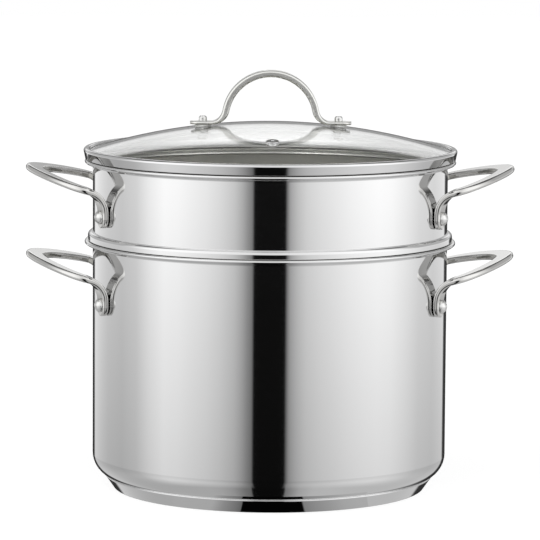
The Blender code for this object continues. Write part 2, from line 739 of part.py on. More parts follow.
def screw_mesh():
    head_top = lower_pad_underside() - WASHER_THICKNESS - 2 * GAP
    head_low = head_top - SCREW_HEAD_HEIGHT
    head = SCREW_HEAD_DIAMETER / 2
    shank = SCREW_DIAMETER / 2
    tip = FOOT_TOP + SCREW_REACH
    profile = [(0, tip), (shank, tip), (shank, head_top), (head, head_top)]
    profile.append((head, head_top - SCREW_HEAD_HEIGHT / 2))
    profile.append((head - SCREW_HEAD_HEIGHT / 2, head_low))
    profile.append((0, head_low))
    return settled(turned("lid_screw", profile, closed=False, segments=SMALL_SEGMENTS))


def cap_nut_mesh():
    low = FOOT_TOP + GAP
    top = low + NUT_HEIGHT
    outer = NUT_DIAMETER / 2
    bore = SCREW_DIAMETER / 2 + SHANK_PLAY
    bore_top = FOOT_TOP + SCREW_REACH + GAP
    profile = arc((0, top - outer), outer, 90, 0)
    profile.append((outer, low))
    profile.append((bore, low))
    profile.append((bore, bore_top))
    profile.append((0, bore_top))
    return settled(turned("lid_cap_nut", profile, closed=False, segments=SMALL_SEGMENTS))


def vent_eyelet_mesh():
    """Upper flange, tube through the glass and lower flange, about the vent's own axis."""
    bore = VENT_BORE / 2
    tube = VENT_TUBE_DIAMETER / 2
    flange = VENT_FLANGE_DIAMETER / 2
    upper = GAP
    lower = -GLASS_THICKNESS - GAP
    ease = VENT_FLANGE_THICKNESS / 2
    profile = [(bore, upper + VENT_FLANGE_THICKNESS)]
    profile.append((flange - ease, upper + VENT_FLANGE_THICKNESS))
    profile.append((flange, upper + ease))
    profile.append((flange, upper))
    profile.append((tube, upper))
    profile.append((tube, lower))
    profile.append((flange, lower))
    profile.append((flange, lower - VENT_FLANGE_THICKNESS))
    profile.append((bore, lower - VENT_FLANGE_THICKNESS))
    return settled(turned("steam_vent_eyelet", profile, segments=SMALL_SEGMENTS))


# Assembly
def place_handles(prefix, body, rivet_height, mesh, rivet):
    place(prefix + "_handle_right", mesh, STEEL, body, (0, 0, rivet_height))
    place(prefix + "_handle_left", mesh, STEEL, body, (0, 0, rivet_height), (0, 0, math.pi))
    for foot, angle in foot_angles().items():
        spot = around(WALL_OUTER, angle, rivet_height)
        place(prefix + "_rivet_" + foot, rivet, STEEL, body, spot, (0, math.pi / 2, angle))


def build():
    pot = new_body("pot", 0)
    insert = new_body("insert", POT_RIM_HEIGHT)
    lid = new_body("lid", INSERT_RIM_HEIGHT)
    handle = loop_handle_mesh()
    rivet = rivet_mesh()

    place("pot_body", pot_body_mesh(), STEEL, pot)
    place("base_core", base_core_mesh(), ALUMINIUM, pot)
    place("base_cap", base_cap_mesh(), STEEL, pot)
    place_handles("pot", pot, POT_RIVET_HEIGHT, handle, rivet)

    place("insert_basket", insert_basket_mesh(), STEEL, insert)
    place_handles("insert", insert, INSERT_RIVET_HEIGHT, handle, rivet)

    place("lid_glass", lid_glass_mesh(), GLASS, lid)
    place("lid_rim", lid_rim_mesh(), STEEL, lid)
    place("lid_handle", lid_handle_mesh(), STEEL, lid, (0, 0, FOOT_CENTRE_HEIGHT))
    fasteners = {
        "lid_upper_gasket": (upper_pad_mesh(), SILICONE),
        "lid_lower_gasket": (lower_pad_mesh(), SILICONE),
        "lid_washer": (washer_mesh(), STEEL),
        "lid_screw": (screw_mesh(), STEEL),
        "lid_cap_nut": (cap_nut_mesh(), STEEL),
    }
    for name, (mesh, material) in fasteners.items():
        place(name + "_right", mesh, material, lid, (SCREW_X, 0, 0))
        place(name + "_left", mesh, material, lid, (-SCREW_X, 0, 0), (0, 0, math.pi))
    surface, lean = vent_place()
    place("steam_vent_eyelet", vent_eyelet_mesh(), STEEL, lid, surface, (lean, 0, 0))


clear_scene()
PASTA_POT = new_collection("pasta pot with strainer insert")
WORKSHOP = new_collection("cutters and outlines")
STEEL = new_material("polished steel", (0.80, 0.80, 0.79), 0.08, 1.0)
ALUMINIUM = new_material("aluminium", (0.75, 0.75, 0.76), 0.35, 1.0)
GLASS = new_material("tempered glass", (0.93, 0.95, 0.93), 0.02, 0.0, alpha=0.3)
SILICONE = new_material("clear silicone", (0.72, 0.72, 0.70), 0.45, 0.0)
build()
bpy.context.view_layer.update()
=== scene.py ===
"""Looks of a pasta pot with a strainer insert and a glass lid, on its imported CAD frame.

Metres, +Z up. The loop handles lie along X and the lid's steam vent faces -Y.
"""
import math

import bmesh
import bpy
from mathutils import Matrix, Vector
from mathutils.geometry import interpolate_bezier


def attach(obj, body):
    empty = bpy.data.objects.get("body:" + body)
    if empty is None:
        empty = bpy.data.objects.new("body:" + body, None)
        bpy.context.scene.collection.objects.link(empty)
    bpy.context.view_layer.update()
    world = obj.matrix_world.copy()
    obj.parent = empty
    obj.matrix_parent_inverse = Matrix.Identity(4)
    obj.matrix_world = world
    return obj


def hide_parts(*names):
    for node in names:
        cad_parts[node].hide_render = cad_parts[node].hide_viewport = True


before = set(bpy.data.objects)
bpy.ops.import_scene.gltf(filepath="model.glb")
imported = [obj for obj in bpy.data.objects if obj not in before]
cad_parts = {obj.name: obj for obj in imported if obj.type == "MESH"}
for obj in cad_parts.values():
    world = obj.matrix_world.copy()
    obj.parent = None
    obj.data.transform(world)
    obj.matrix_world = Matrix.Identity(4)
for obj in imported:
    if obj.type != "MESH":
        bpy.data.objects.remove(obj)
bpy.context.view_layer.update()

# Sizes, as in the CAD, with the basket's wall and the handles' tips just inside it
GAP = 0.0003
BORE = 0.240
SHEET = 0.0008
RIM_REACH = 0.0055
RIM_THICKNESS = 0.0024
RIM_FILLET = 0.0018
RIM_MOUTH_ROUND = 0.0012
POT_RIM_HEIGHT = 0.1697
POT_CORNER_RADIUS = 0.0158
BASE_HEIGHT = 0.0077
BASE_INSET = 0.0145
BASE_FLARE = 0.0065
BASE_EDGE_ROUND = 0.0008
INSERT_BAND_HEIGHT = 0.0549
BEAD_REACH = 0.0033
BEAD_HEIGHT = 0.0055
BEAD_ROUND = 0.0024
BEAD_EDGE_ROUND = 0.0004
BASKET_DEPTH = 0.1277
BASKET_OUTER = 0.1166
BASKET_CORNER_RADIUS = 0.012
BASKET_NECK_ROUND = 0.0015
STRAP_WIDTH = 0.0125
STRAP_THICKNESS = 0.0043
STRAP_EDGE_ROUND = 0.0019
FOOT_ANGLE = math.radians(24)
FOOT_TOE = 0.0073
LEG_RISE = 0.0030
LEG_BEND_RADIUS = 0.0157
LOOP_SLOPE = math.radians(15.3)
HANDLE_REACH = 0.0454
LOOP_SHOULDER = 0.009
LOOP_TIP_ARM = 0.024
POT_RIVET_DROP = 0.0392
INSERT_RIVET_DROP = 0.0349
RIVET_HEAD_DIAMETER = 0.0092
RIVET_HEAD_HEIGHT = 0.0034
RIVET_HEAD_EDGE = 0.0006
RIVET_SHANK_DIAMETER = 0.005
RIVET_INNER_DIAMETER = 0.009
RIVET_INNER_HEIGHT = 0.0012
LID_HEIGHT = 0.0249
GLASS_THICKNESS = 0.004
LID_SHEET = 0.0008
SKIRT_DEPTH = 0.0052
SKIRT_PLAY = 0.0018
HEM_REACH = 0.0012
HEM_HEIGHT = 0.0019
RIDGE_RISE = 0.0041
RIDGE_REACH = 0.0008
RIDGE_HALF_HEIGHT = 0.0007
BAND_OVERHANG = 0.0012
BAND_THICKNESS = 0.0026
BAND_TAPER = 0.0015
BAND_LIFT = 0.0007
BAND_TOP_ROUND = 0.0018
LIP_THICKNESS = 0.0016
GLASS_GRIP = 0.0014
ARCH_WIDTH = 0.0125
ARCH_THICKNESS = 0.0045
ARCH_FOOT_THICKNESS = 0.0022
ARCH_EDGE_ROUND = 0.0014
ARCH_RADIUS = 0.031
ARCH_BEND_RADIUS = 0.010
ARCH_RISE = 0.0335
ARCH_TAIL = 0.01465
ARCH_SCREW_SETBACK = 0.0088
FOOT_PAD_THICKNESS = 0.0010
SCREW_DIAMETER = 0.0034
SCREW_HEAD_DIAMETER = 0.007
SCREW_HEAD_HEIGHT = 0.0022
NUT_DIAMETER = 0.0056
NUT_HEIGHT = 0.0032
PAD_DIAMETER = 0.011
LOWER_PAD_THICKNESS = 0.001
WASHER_DIAMETER = 0.010
WASHER_THICKNESS = 0.001
VENT_RADIUS = 0.075
VENT_FLANGE_DIAMETER = 0.009
VENT_FLANGE_THICKNESS = 0.0008
VENT_TUBE_DIAMETER = 0.006
VENT_BORE = 0.0027

# Rounds and clearances of the fine pieces
HAIR = 0.00001
TOUCH_GAP = 0.00005
CLEARANCE = 0.0001
CREASE_ROUND = 0.0001
EDGE_ROUND = 0.0002
FOLD_ROUND = 0.0003
CUP_INNER_ROUND = 0.0004
FLANGE_ROUND = 0.0005
SOFT_ROUND = 0.0006
SKIRT_ROUND = 0.0007
HEM_TOP_ROUND = 0.00115
SCREW_HEAD_ROUND = 0.0013
RIVET_INNER_PLAY = 0.0002
SCREW_TIP_RISE = 0.0018
SCREW_RECESS = (0.0042, 0.0009, 0.0024)
NUT_TOP_SHARE = 0.72
NUT_SLOPE = 0.0011

# Drain holes, more than the CAD has
HOLE_DIAMETER = 0.0055
HOLES_AROUND = 60
HOLES_TOP_MARGIN = 0.020
HOLES_LOW_MARGIN = 0.009
HOLE_ROWS = 9
FLOOR_RINGS = 8
FLOOR_HOLES_PER_RING = 6
FLOOR_MARGIN = 0.011
CELL_SEGMENTS = 4

# Fineness
SAME_PLACE = 1e-7
WELD_DISTANCE = 0.00002
SEGMENTS = HOLES_AROUND * CELL_SEGMENTS
FLOOR_HOLE_SEGMENTS = 16
SMALL_SEGMENTS = 48
ARC_STEP = math.radians(9)
DOME_RINGS = 24
BEND_STEPS = 14
LOOP_STEPS = 26
TOE_STEPS = 9
STRAP_EDGE_STEPS = 5
LARGEST_EASE = 0.98
BASKET_CORNER_STEPS = 8
RIVET_DOME_STEPS = 10
SHARP_ANGLE = math.radians(32)

# Worked out
WALL_INNER = BORE / 2
WALL_OUTER = WALL_INNER + SHEET
RIM_TIP = WALL_OUTER + RIM_REACH
RIM_ROUND = RIM_THICKNESS / 2 - HAIR
INSERT_RIM_HEIGHT = POT_RIM_HEIGHT + INSERT_BAND_HEIGHT
BEAD_SEAT = POT_RIM_HEIGHT + GAP
POT_RIVET_HEIGHT = POT_RIM_HEIGHT - POT_RIVET_DROP
INSERT_RIVET_HEIGHT = INSERT_RIM_HEIGHT - INSERT_RIVET_DROP
LEG_CENTRE = WALL_OUTER + GAP + STRAP_THICKNESS / 2
RIVET_HEAD_SEAT = LEG_CENTRE + STRAP_THICKNESS / 2
BASKET_UNDERSIDE = POT_RIM_HEIGHT - BASKET_DEPTH
LOWEST_HOLES = BASKET_UNDERSIDE + BASKET_CORNER_RADIUS + HOLES_LOW_MARGIN
HIGHEST_HOLES = BEAD_SEAT - HOLES_TOP_MARGIN
HOLE_PITCH = (HIGHEST_HOLES - LOWEST_HOLES) / (HOLE_ROWS - 1)
CELLS_LOW = LOWEST_HOLES - HOLE_PITCH / 2
CELLS_TOP = CELLS_LOW + HOLE_PITCH * HOLE_ROWS
BAND_OUTER = RIM_TIP + BAND_OVERHANG
BAND_INNER = BAND_OUTER - BAND_THICKNESS
GLASS_EDGE = BAND_INNER - GAP
LID_SEAT = INSERT_RIM_HEIGHT + GAP
GLASS_SEAT = LID_SEAT + LID_SHEET + GAP
GLASS_TOP = INSERT_RIM_HEIGHT + LID_HEIGHT
GLASS_SAG = GLASS_TOP - GLASS_THICKNESS - GLASS_SEAT
DOME_INNER = (GLASS_EDGE**2 + GLASS_SAG**2) / (2 * GLASS_SAG)
DOME_OUTER = DOME_INNER + GLASS_THICKNESS
DOME_CENTRE = GLASS_TOP - DOME_OUTER
FOOT_BEND_X = math.sqrt((ARCH_RADIUS + ARCH_BEND_RADIUS)**2
                        - (ARCH_RISE - ARCH_RADIUS - ARCH_BEND_RADIUS)**2)
ARCH_TIP_X = FOOT_BEND_X + ARCH_TAIL
SCREW_X = ARCH_TIP_X - ARCH_SCREW_SETBACK


def dome_height(radius, sphere):
    """Height, at this distance from the lid's axis, of a sphere about the dome's centre."""
    return DOME_CENTRE + math.sqrt(sphere**2 - radius**2)


FOOT_UNDERSIDE = dome_height(SCREW_X, DOME_OUTER) + FOOT_PAD_THICKNESS + 2 * GAP
FOOT_CENTRE_HEIGHT = FOOT_UNDERSIDE + ARCH_FOOT_THICKNESS / 2
FOOT_TOP = FOOT_UNDERSIDE + ARCH_FOOT_THICKNESS
LOWER_PAD_UNDERSIDE = dome_height(SCREW_X + PAD_DIAMETER / 2, DOME_INNER) - GAP - LOWER_PAD_THICKNESS
VENT_LEAN = math.asin(VENT_RADIUS / DOME_OUTER)
VENT_PLACE = Vector((0, -VENT_RADIUS, dome_height(VENT_RADIUS, DOME_OUTER)))

# Camera, from the pinhole fitted to the photograph
IMAGE_PIXELS = 540
FOCAL_PIXELS = 3818
SENSOR = 36.0
CAMERA_DISTANCE = 2.6086
CAMERA_ELEVATION = math.radians(6.864)
CAMERA_AZIMUTH = math.radians(-1.0)
CAMERA_ROLL = math.radians(0.367)
CAMERA_TARGET = (0.000159, 0, 0.14866)


# Outlines
def left_of(direction):
    return Vector((-direction.y, direction.x))


def ray_at(angle):
    return Vector((math.cos(angle), math.sin(angle)))


def around(radius, angle, height):
    return Vector((radius * math.cos(angle), radius * math.sin(angle), height))


def rounded(corners, closed=False):
    """Outline points as (point, normal before, normal after), from (radius, height, round) corners."""
    count = len(corners)
    spots = [Vector(corner[:2]) for corner in corners]
    outline = []
    for index, (radius, height, size) in enumerate(corners):
        here = spots[index]
        first = index == 0 and not closed
        last = index == count - 1 and not closed
        ahead = None if last else (spots[(index + 1) % count] - here).normalized()
        behind = None if first else (here - spots[index - 1]).normalized()
        if first or last or size <= 0:
            before = left_of(ahead if first else behind)
            after = left_of(behind if last else ahead)
            outline.append((here, before, after))
            continue
        half = (math.pi - behind.angle(ahead)) / 2
        start = here - behind * size / math.tan(half)
        centre = here + (ahead - behind).normalized() * size / math.sin(half)
        side = 1 if (start - centre).dot(left_of(behind)) > 0 else -1
        opening = math.atan2(start.y - centre.y, start.x - centre.x)
        sweep = math.atan2(behind.x * ahead.y - behind.y * ahead.x, behind.dot(ahead))
        steps = max(2, math.ceil(abs(sweep) / ARC_STEP))
        for step in range(steps + 1):
            ray = ray_at(opening + sweep * step / steps)
            outline.append((centre + ray * size, ray * side, ray * side))
    return outline


def dome_outline(sphere, inner, outer, side):
    """Outline points on a sphere about the dome's centre, with their normals."""
    outline = []
    for step in range(DOME_RINGS + 1):
        radius = inner + (outer - inner) * step / DOME_RINGS
        point = Vector((radius, dome_height(radius, sphere)))
        normal = (point - Vector((0, DOME_CENTRE))).normalized() * side
        outline.append((point, normal, normal))
    return outline


# Meshes
def new_object(name, data, *materials):
    item = bpy.data.objects.new(name, data)
    bpy.context.scene.collection.objects.link(item)
    for material in materials:
        if material.name not in data.materials:
            data.materials.append(material)
    return item


def listed_mesh(name, vertices, faces, normals=None):
    """A mesh from lists; it's smooth where the normals of its faces' corners are given."""
    mesh = bpy.data.meshes.new(name)
    mesh.from_pydata(vertices, [], faces)
    if normals:
        mesh.shade_smooth()
        mesh.normals_split_custom_set(normals)
    return mesh


def turned_mesh(name, runs, segments=SEGMENTS, closed=False):
    """Outlines turned about Z as one skin. Each run is (material index, outline)."""
    outline = []
    finishes = []
    for finish, points in runs:
        for entry in points:
            if outline and (entry[0] - outline[-1][0]).length < SAME_PLACE:
                outline[-1] = (*outline[-1][:2], entry[2])
                continue
            if outline:
                finishes.append(finish)
            outline.append(entry)
    if closed:
        finishes.append(runs[-1][0])
    rings = []
    vertices = []
    for point, _, _ in outline:
        if point.x < SAME_PLACE:
            rings.append([len(vertices)] * segments)
            vertices.append((0, 0, point.y))
            continue
        rings.append(list(range(len(vertices), len(vertices) + segments)))
        for index in range(segments):
            vertices.append(around(point.x, 2 * math.pi * index / segments, point.y))
    area = 0
    for entry, following in zip(outline, outline[1:] + outline[:1]):
        area += entry[0].x * following[0].y - following[0].x * entry[0].y
    side = 1 if area < 0 else -1
    faces = []
    normals = []
    slots = []
    count = len(outline)
    for step in range(count if closed else count - 1):
        following = (step + 1) % count
        for index in range(segments):
            ahead = (index + 1) % segments
            corners = [(step, index), (step, ahead), (following, ahead), (following, index)]
            if rings[step][0] == rings[step][1]:
                corners.pop(1)
            elif rings[following][0] == rings[following][1]:
                corners.pop(2)
            if side > 0:
                corners.reverse()
            faces.append([rings[ring][place] for ring, place in corners])
            slots.append(finishes[step])
            for ring, place in corners:
                flat = outline[ring][2 if ring == step else 1] * side
                normals.append(around(flat.x, 2 * math.pi * place / segments, flat.y))
    mesh = listed_mesh(name, vertices, faces, normals)
    mesh.polygons.foreach_set("material_index", slots)
    return mesh


def small_mesh(name, corners, closed=False):
    """A small turned piece of one material, from the corners of its outline."""
    return turned_mesh(name, [(0, rounded(corners, closed))], SMALL_SEGMENTS, closed)


def strap_section(half_width, half_height, ease):
    """Points round a flat bar with rounded edges, each with its normal, as (wide, thick) pairs."""
    ease = min(ease, half_width * LARGEST_EASE, half_height * LARGEST_EASE)
    points = []
    for quarter, (x, y) in enumerate(((1, 1), (-1, 1), (-1, -1), (1, -1))):
        centre = Vector((x * (half_width - ease), y * (half_height - ease)))
        for step in range(STRAP_EDGE_STEPS + 1):
            ray = ray_at(math.pi / 2 * (quarter + step / STRAP_EDGE_STEPS))
            points.append((centre + ray * ease, ray))
    return points


def toe(half):
    """The round end of a strap in steps: way in from its tip, half width there, and its edge's lean."""
    for step in range(1, TOE_STEPS + 1):
        angle = math.pi / 2 * step / TOE_STEPS
        yield half * (1 - math.cos(angle)), half * math.sin(angle), math.pi / 2 - angle


def lofted_mesh(name, stations, ease):
    """A strap through stations: place, wide and thick directions, half sizes, and its edge's lean."""
    vertices = []
    vertex_normals = []
    rings = []
    for place, wide, thick, half_width, half_height, lean in stations:
        along = wide.cross(thick)
        edge = wide * math.cos(lean) + along * math.sin(lean)
        far_edge = wide * math.cos(lean) - along * math.sin(lean)
        ring = []
        for spot, ray in strap_section(half_width, half_height, ease):
            ring.append(len(vertices))
            vertices.append(place + wide * spot.x + thick * spot.y)
            sideways = edge if ray.x > 0 else far_edge
            vertex_normals.append((sideways * ray.x + thick * ray.y).normalized())
        rings.append(ring)
    faces = []
    for ring, following in zip(rings, rings[1:]):
        for index in range(len(ring)):
            ahead = (index + 1) % len(ring)
            faces.append([ring[index], following[index], following[ahead], ring[ahead]])
    faces.append(list(rings[0]))
    faces.append(list(reversed(rings[-1])))
    first = faces[0]
    facing = (vertices[first[1]] - vertices[first[0]]).cross(vertices[first[3]] - vertices[first[0]])
    if facing.dot(vertex_normals[first[0]]) < 0:
        for face in faces:
            face.reverse()
    normals = []
    for face in faces[:-2]:
        normals += [vertex_normals[corner] for corner in face]
    for face, (end, inner) in zip(faces[-2:], ((0, 1), (-1, -2))):
        outward = (stations[end][0] - stations[inner][0]).normalized()
        normals += [outward] * len(face)
    return listed_mesh(name, vertices, faces, normals)


def mirrored(stations, flip):
    """The stations before the last one, in reverse, on the other side of it."""
    flip = Vector(flip)
    return [(place * flip, wide * flip, thick * flip, width, height, -lean)
            for place, wide, thick, width, height, lean in reversed(stations[:-1])]


def finished_mesh(name, solid):
    mesh = bpy.data.meshes.new(name)
    solid.to_mesh(mesh)
    solid.free()
    return mesh


def evaluated_mesh(item, spares=()):
    """The item's mesh after its modifiers. The item and the spares are removed."""
    bpy.context.view_layer.update()
    graph = bpy.context.evaluated_depsgraph_get()
    mesh = bpy.data.meshes.new_from_object(item.evaluated_get(graph))
    for spare in (item, *spares):
        bpy.data.objects.remove(spare)
    return mesh


def cylinder_cutter(diameter, length, place):
    solid = bmesh.new()
    bmesh.ops.create_cone(solid, cap_ends=True, segments=SMALL_SEGMENTS, radius1=diameter / 2,
                          radius2=diameter / 2, depth=length, matrix=place)
    return finished_mesh("cutter", solid)


def box_cutter(size, place):
    solid = bmesh.new()
    bmesh.ops.create_cube(solid, size=1, matrix=place @ Matrix.Diagonal((*size, 1)))
    return finished_mesh("cutter", solid)


def cut_mesh(mesh, cutters):
    """The mesh with each cutter taken out of it."""
    item = new_object("work", mesh)
    tools = []
    for cutter in cutters:
        tool = new_object("tool", cutter)
        boolean = item.modifiers.new("cut", "BOOLEAN")
        boolean.operation = "DIFFERENCE"
        boolean.solver = "EXACT"
        boolean.object = tool
        tools.append(tool)
    return evaluated_mesh(item, tools)


def smooth_by_angle(mesh):
    mesh.shade_smooth()
    mesh.set_sharp_from_angle(angle=SHARP_ANGLE)


def dress(item, body, node):
    """Make a piece ride on its body, in the place of the CAD node it stands for."""
    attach(item, body)
    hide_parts(node)


# Pot and base
def shell_mesh(name, top, inner_corners, outer_corners):
    """A wall with its flared rim. The corners below the rim are given, up inside and down outside."""
    under = top - RIM_THICKNESS
    crown = (RIM_TIP - RIM_THICKNESS / 2, top, 0)
    inside = rounded([*inner_corners, (WALL_INNER, top, RIM_MOUTH_ROUND), crown])
    outside = rounded([crown, (RIM_TIP, top, RIM_ROUND), (RIM_TIP, under, RIM_ROUND),
                       (WALL_OUTER, under, RIM_FILLET), *outer_corners])
    return turned_mesh(name, [(1, inside), (0, outside)])


def pot_shell_mesh():
    inner = [
        (0, BASE_HEIGHT + SHEET, 0),
        (WALL_INNER, BASE_HEIGHT + SHEET, POT_CORNER_RADIUS - SHEET),
    ]
    outer = [
        (WALL_OUTER, BASE_HEIGHT, POT_CORNER_RADIUS),
        (0, BASE_HEIGHT, 0),
    ]
    return shell_mesh("shell_pot", POT_RIM_HEIGHT, inner, outer)


def pot_corner_height(radius):
    """Height of the pot's outer face above this radius, in its lower corner."""
    run = radius - (WALL_OUTER - POT_CORNER_RADIUS)
    return BASE_HEIGHT + POT_CORNER_RADIUS - math.sqrt(POT_CORNER_RADIUS**2 - run**2)


def base_cup_mesh():
    bottom = WALL_OUTER - BASE_INSET
    top = bottom + BASE_FLARE
    edge = pot_corner_height(top - SHEET)
    outline = rounded([
        (0, SHEET, 0),
        (bottom - SHEET, SHEET, CUP_INNER_ROUND),
        (top - SHEET, edge, 0),
        (top, edge, SOFT_ROUND),
        (bottom, 0, BASE_EDGE_ROUND),
        (0, 0, 0),
    ])
    return turned_mesh("cup_base", [(0, outline)])


# Strainer insert
def insert_shell_mesh():
    """The upper wall with its rim and bead, down to the top of the basket."""
    bead_outer = WALL_OUTER + BEAD_REACH
    bead_top = BEAD_SEAT + BEAD_HEIGHT
    inner = [
        (BASKET_OUTER - SHEET, CELLS_TOP, 0),
        (BASKET_OUTER - SHEET, BEAD_SEAT + SHEET, BASKET_NECK_ROUND + SHEET),
        (bead_outer - SHEET, BEAD_SEAT + SHEET, FOLD_ROUND),
        (bead_outer - SHEET, bead_top - SHEET, BEAD_ROUND - SHEET),
        (WALL_INNER, bead_top - SHEET, CREASE_ROUND),
    ]
    outer = [
        (WALL_OUTER, bead_top, FOLD_ROUND),
        (bead_outer, bead_top, BEAD_ROUND),
        (bead_outer, BEAD_SEAT, BEAD_EDGE_ROUND),
        (BASKET_OUTER, BEAD_SEAT, BASKET_NECK_ROUND),
        (BASKET_OUTER, CELLS_TOP, 0),
    ]
    return shell_mesh("shell_insert", INSERT_RIM_HEIGHT, inner, outer)


def add_wall_cell(solid, first, low):
    """One cell of the perforated wall: a hole and the skin round it."""
    step = 2 * math.pi / SEGMENTS
    reach = HOLE_DIAMETER / 2
    middle = first + CELL_SEGMENTS / 2
    outline = [(first + index, 0) for index in range(CELL_SEGMENTS + 1)]
    outline.append((first + CELL_SEGMENTS, 0.5))
    outline += [(first + CELL_SEGMENTS - index, 1) for index in range(CELL_SEGMENTS + 1)]
    outline.append((first, 0.5))
    border = []
    hole = []
    for place, share in outline:
        border.append(solid.verts.new(around(BASKET_OUTER, place * step, low + share * HOLE_PITCH)))
        across = (place - middle) * step * BASKET_OUTER
        angle = math.atan2((share - 0.5) * HOLE_PITCH, across)
        turn = middle * step + reach * math.cos(angle) / BASKET_OUTER
        height = low + HOLE_PITCH / 2 + reach * math.sin(angle)
        hole.append(solid.verts.new(around(BASKET_OUTER, turn, height)))
    count = len(outline)
    for index in range(count):
        ahead = (index + 1) % count
        solid.faces.new((border[index], border[ahead], hole[ahead], hole[index]))


def basket_mesh():
    """The perforated basket below the bead: wall, corner and floor, in one sheet."""
    solid = bmesh.new()
    for row in range(HOLE_ROWS):
        for index in range(HOLES_AROUND):
            first = index * CELL_SEGMENTS + CELL_SEGMENTS / 2 * (row % 2)
            add_wall_cell(solid, first, CELLS_LOW + row * HOLE_PITCH)
    floor_edge = BASKET_OUTER - BASKET_CORNER_RADIUS
    corner_top = BASKET_UNDERSIDE + BASKET_CORNER_RADIUS
    outline = [(BASKET_OUTER, CELLS_LOW)]
    for step in range(BASKET_CORNER_STEPS + 1):
        angle = math.pi / 2 * step / BASKET_CORNER_STEPS
        radius = floor_edge + BASKET_CORNER_RADIUS * math.cos(angle)
        outline.append((radius, corner_top - BASKET_CORNER_RADIUS * math.sin(angle)))
    rings = []
    for radius, height in outline:
        places = [around(radius, 2 * math.pi * index / SEGMENTS, height) for index in range(SEGMENTS)]
        rings.append([solid.verts.new(place) for place in places])
    for upper, lower in zip(rings, rings[1:]):
        for index in range(SEGMENTS):
            ahead = (index + 1) % SEGMENTS
            solid.faces.new((upper[index], lower[index], lower[ahead], upper[ahead]))
    solid.from_mesh(floor_mesh(floor_edge))
    bmesh.ops.remove_doubles(solid, verts=solid.verts, dist=WELD_DISTANCE)
    bmesh.ops.recalc_face_normals(solid, faces=solid.faces)
    mesh = finished_mesh("basket_insert", solid)
    upward = sum(face.normal.z * face.area for face in mesh.polygons)
    if upward > 0:
        mesh.flip_normals()
    return thickened(mesh)


def floor_mesh(edge):
    """The basket's flat floor with rings of holes."""
    curve = bpy.data.curves.new("floor", "CURVE")
    curve.dimensions = "2D"
    curve.fill_mode = "BOTH"
    add_circle(curve, Vector((0, 0)), edge, SEGMENTS)
    add_circle(curve, Vector((0, 0)), HOLE_DIAMETER / 2, FLOOR_HOLE_SEGMENTS)
    outer_ring = edge - FLOOR_MARGIN
    for ring in range(1, FLOOR_RINGS + 1):
        count = FLOOR_HOLES_PER_RING * ring
        for index in range(count):
            angle = 2 * math.pi * (index + 0.5) / count
            spot = around(outer_ring * ring / FLOOR_RINGS, angle, 0)
            add_circle(curve, spot, HOLE_DIAMETER / 2, FLOOR_HOLE_SEGMENTS)
    mesh = evaluated_mesh(new_object("floor", curve))
    mesh.transform(Matrix.Translation((0, 0, BASKET_UNDERSIDE)))
    return mesh


def add_circle(curve, centre, radius, sides):
    spline = curve.splines.new("POLY")
    spline.points.add(sides - 1)
    for index, knot in enumerate(spline.points):
        angle = 2 * math.pi * index / sides
        knot.co = (centre.x + radius * math.cos(angle), centre.y + radius * math.sin(angle), 0, 1)
    spline.use_cyclic_u = True


def thickened(mesh):
    """The sheet with its thickness. Its inside and its cut edges take the second material."""
    item = new_object("work", mesh, STEEL, SATIN)
    solidify = item.modifiers.new("sheet", "SOLIDIFY")
    solidify.thickness = SHEET
    solidify.offset = -1
    solidify.material_offset = 1
    solidify.material_offset_rim = 1
    result = evaluated_mesh(item)
    smooth_by_angle(result)
    return result


# Loop handles
FOOT_ANGLES = {
    "right_front": -FOOT_ANGLE,
    "right_rear": FOOT_ANGLE,
    "left_front": math.pi + FOOT_ANGLE,
    "left_rear": math.pi - FOOT_ANGLE,
}
INNER_EDGE_FACING = 0.55
RIVET_DOME_SHARE = 0.96


def half_handle_stations():
    """From the front foot's toe up the leg, round its bend and out to the loop's tip."""
    out = around(1, -FOOT_ANGLE, 0)
    up = Vector((0, 0, 1))
    leg_width = around(1, math.pi / 2 - FOOT_ANGLE, 0)
    half = STRAP_WIDTH / 2
    half_height = STRAP_THICKNESS / 2
    spots = []
    for setback, width, lean in toe(half):
        spots.append((out * LEG_CENTRE + up * (setback - FOOT_TOE), 0.0, width, -lean))
    spots.append((out * LEG_CENTRE + up * LEG_RISE / 2, 0.0, half, 0.0))
    climb = math.atan(math.tan(LOOP_SLOPE) * math.cos(FOOT_ANGLE))
    turn = math.pi / 2 - climb
    for step in range(BEND_STEPS + 1):
        angle = turn * step / BEND_STEPS
        distance = LEG_CENTRE + LEG_BEND_RADIUS * (1 - math.cos(angle))
        height = LEG_RISE + LEG_BEND_RADIUS * math.sin(angle)
        spots.append((out * distance + up * height, step / BEND_STEPS, half, 0.0))
    start = spots[-1][0]
    tip_x = WALL_OUTER + HANDLE_REACH - half * math.cos(LOOP_SLOPE)
    flat_start = Vector((start.x, start.y, 0))
    shoulder = flat_start + out * LOOP_SHOULDER
    arm = Vector((tip_x, -LOOP_TIP_ARM, 0))
    flat_tip = Vector((tip_x, 0, 0))
    for point in interpolate_bezier(flat_start, shoulder, arm, flat_tip, LOOP_STEPS + 1)[1:]:
        point.z = start.z + math.tan(LOOP_SLOPE) * (point.x - start.x)
        spots.append((point, 1.0, half, 0.0))
    places = [spot[0] for spot in spots]
    mirror_place = Vector((places[-2].x, -places[-2].y, places[-2].z))
    beyond = places[1:] + [mirror_place]
    before = [places[0] - up] + places[:-1]
    loop_normal = Vector((-math.sin(LOOP_SLOPE), 0, math.cos(LOOP_SLOPE)))
    stations = []
    for (place, share, width, lean), ahead, behind in zip(spots, beyond, before):
        tangent = (ahead - behind).normalized()
        wide = leg_width.lerp(loop_normal.cross(tangent), share)
        wide = (wide - tangent * wide.dot(tangent)).normalized()
        stations.append((place, wide, tangent.cross(wide), width, half_height, lean))
    return stations


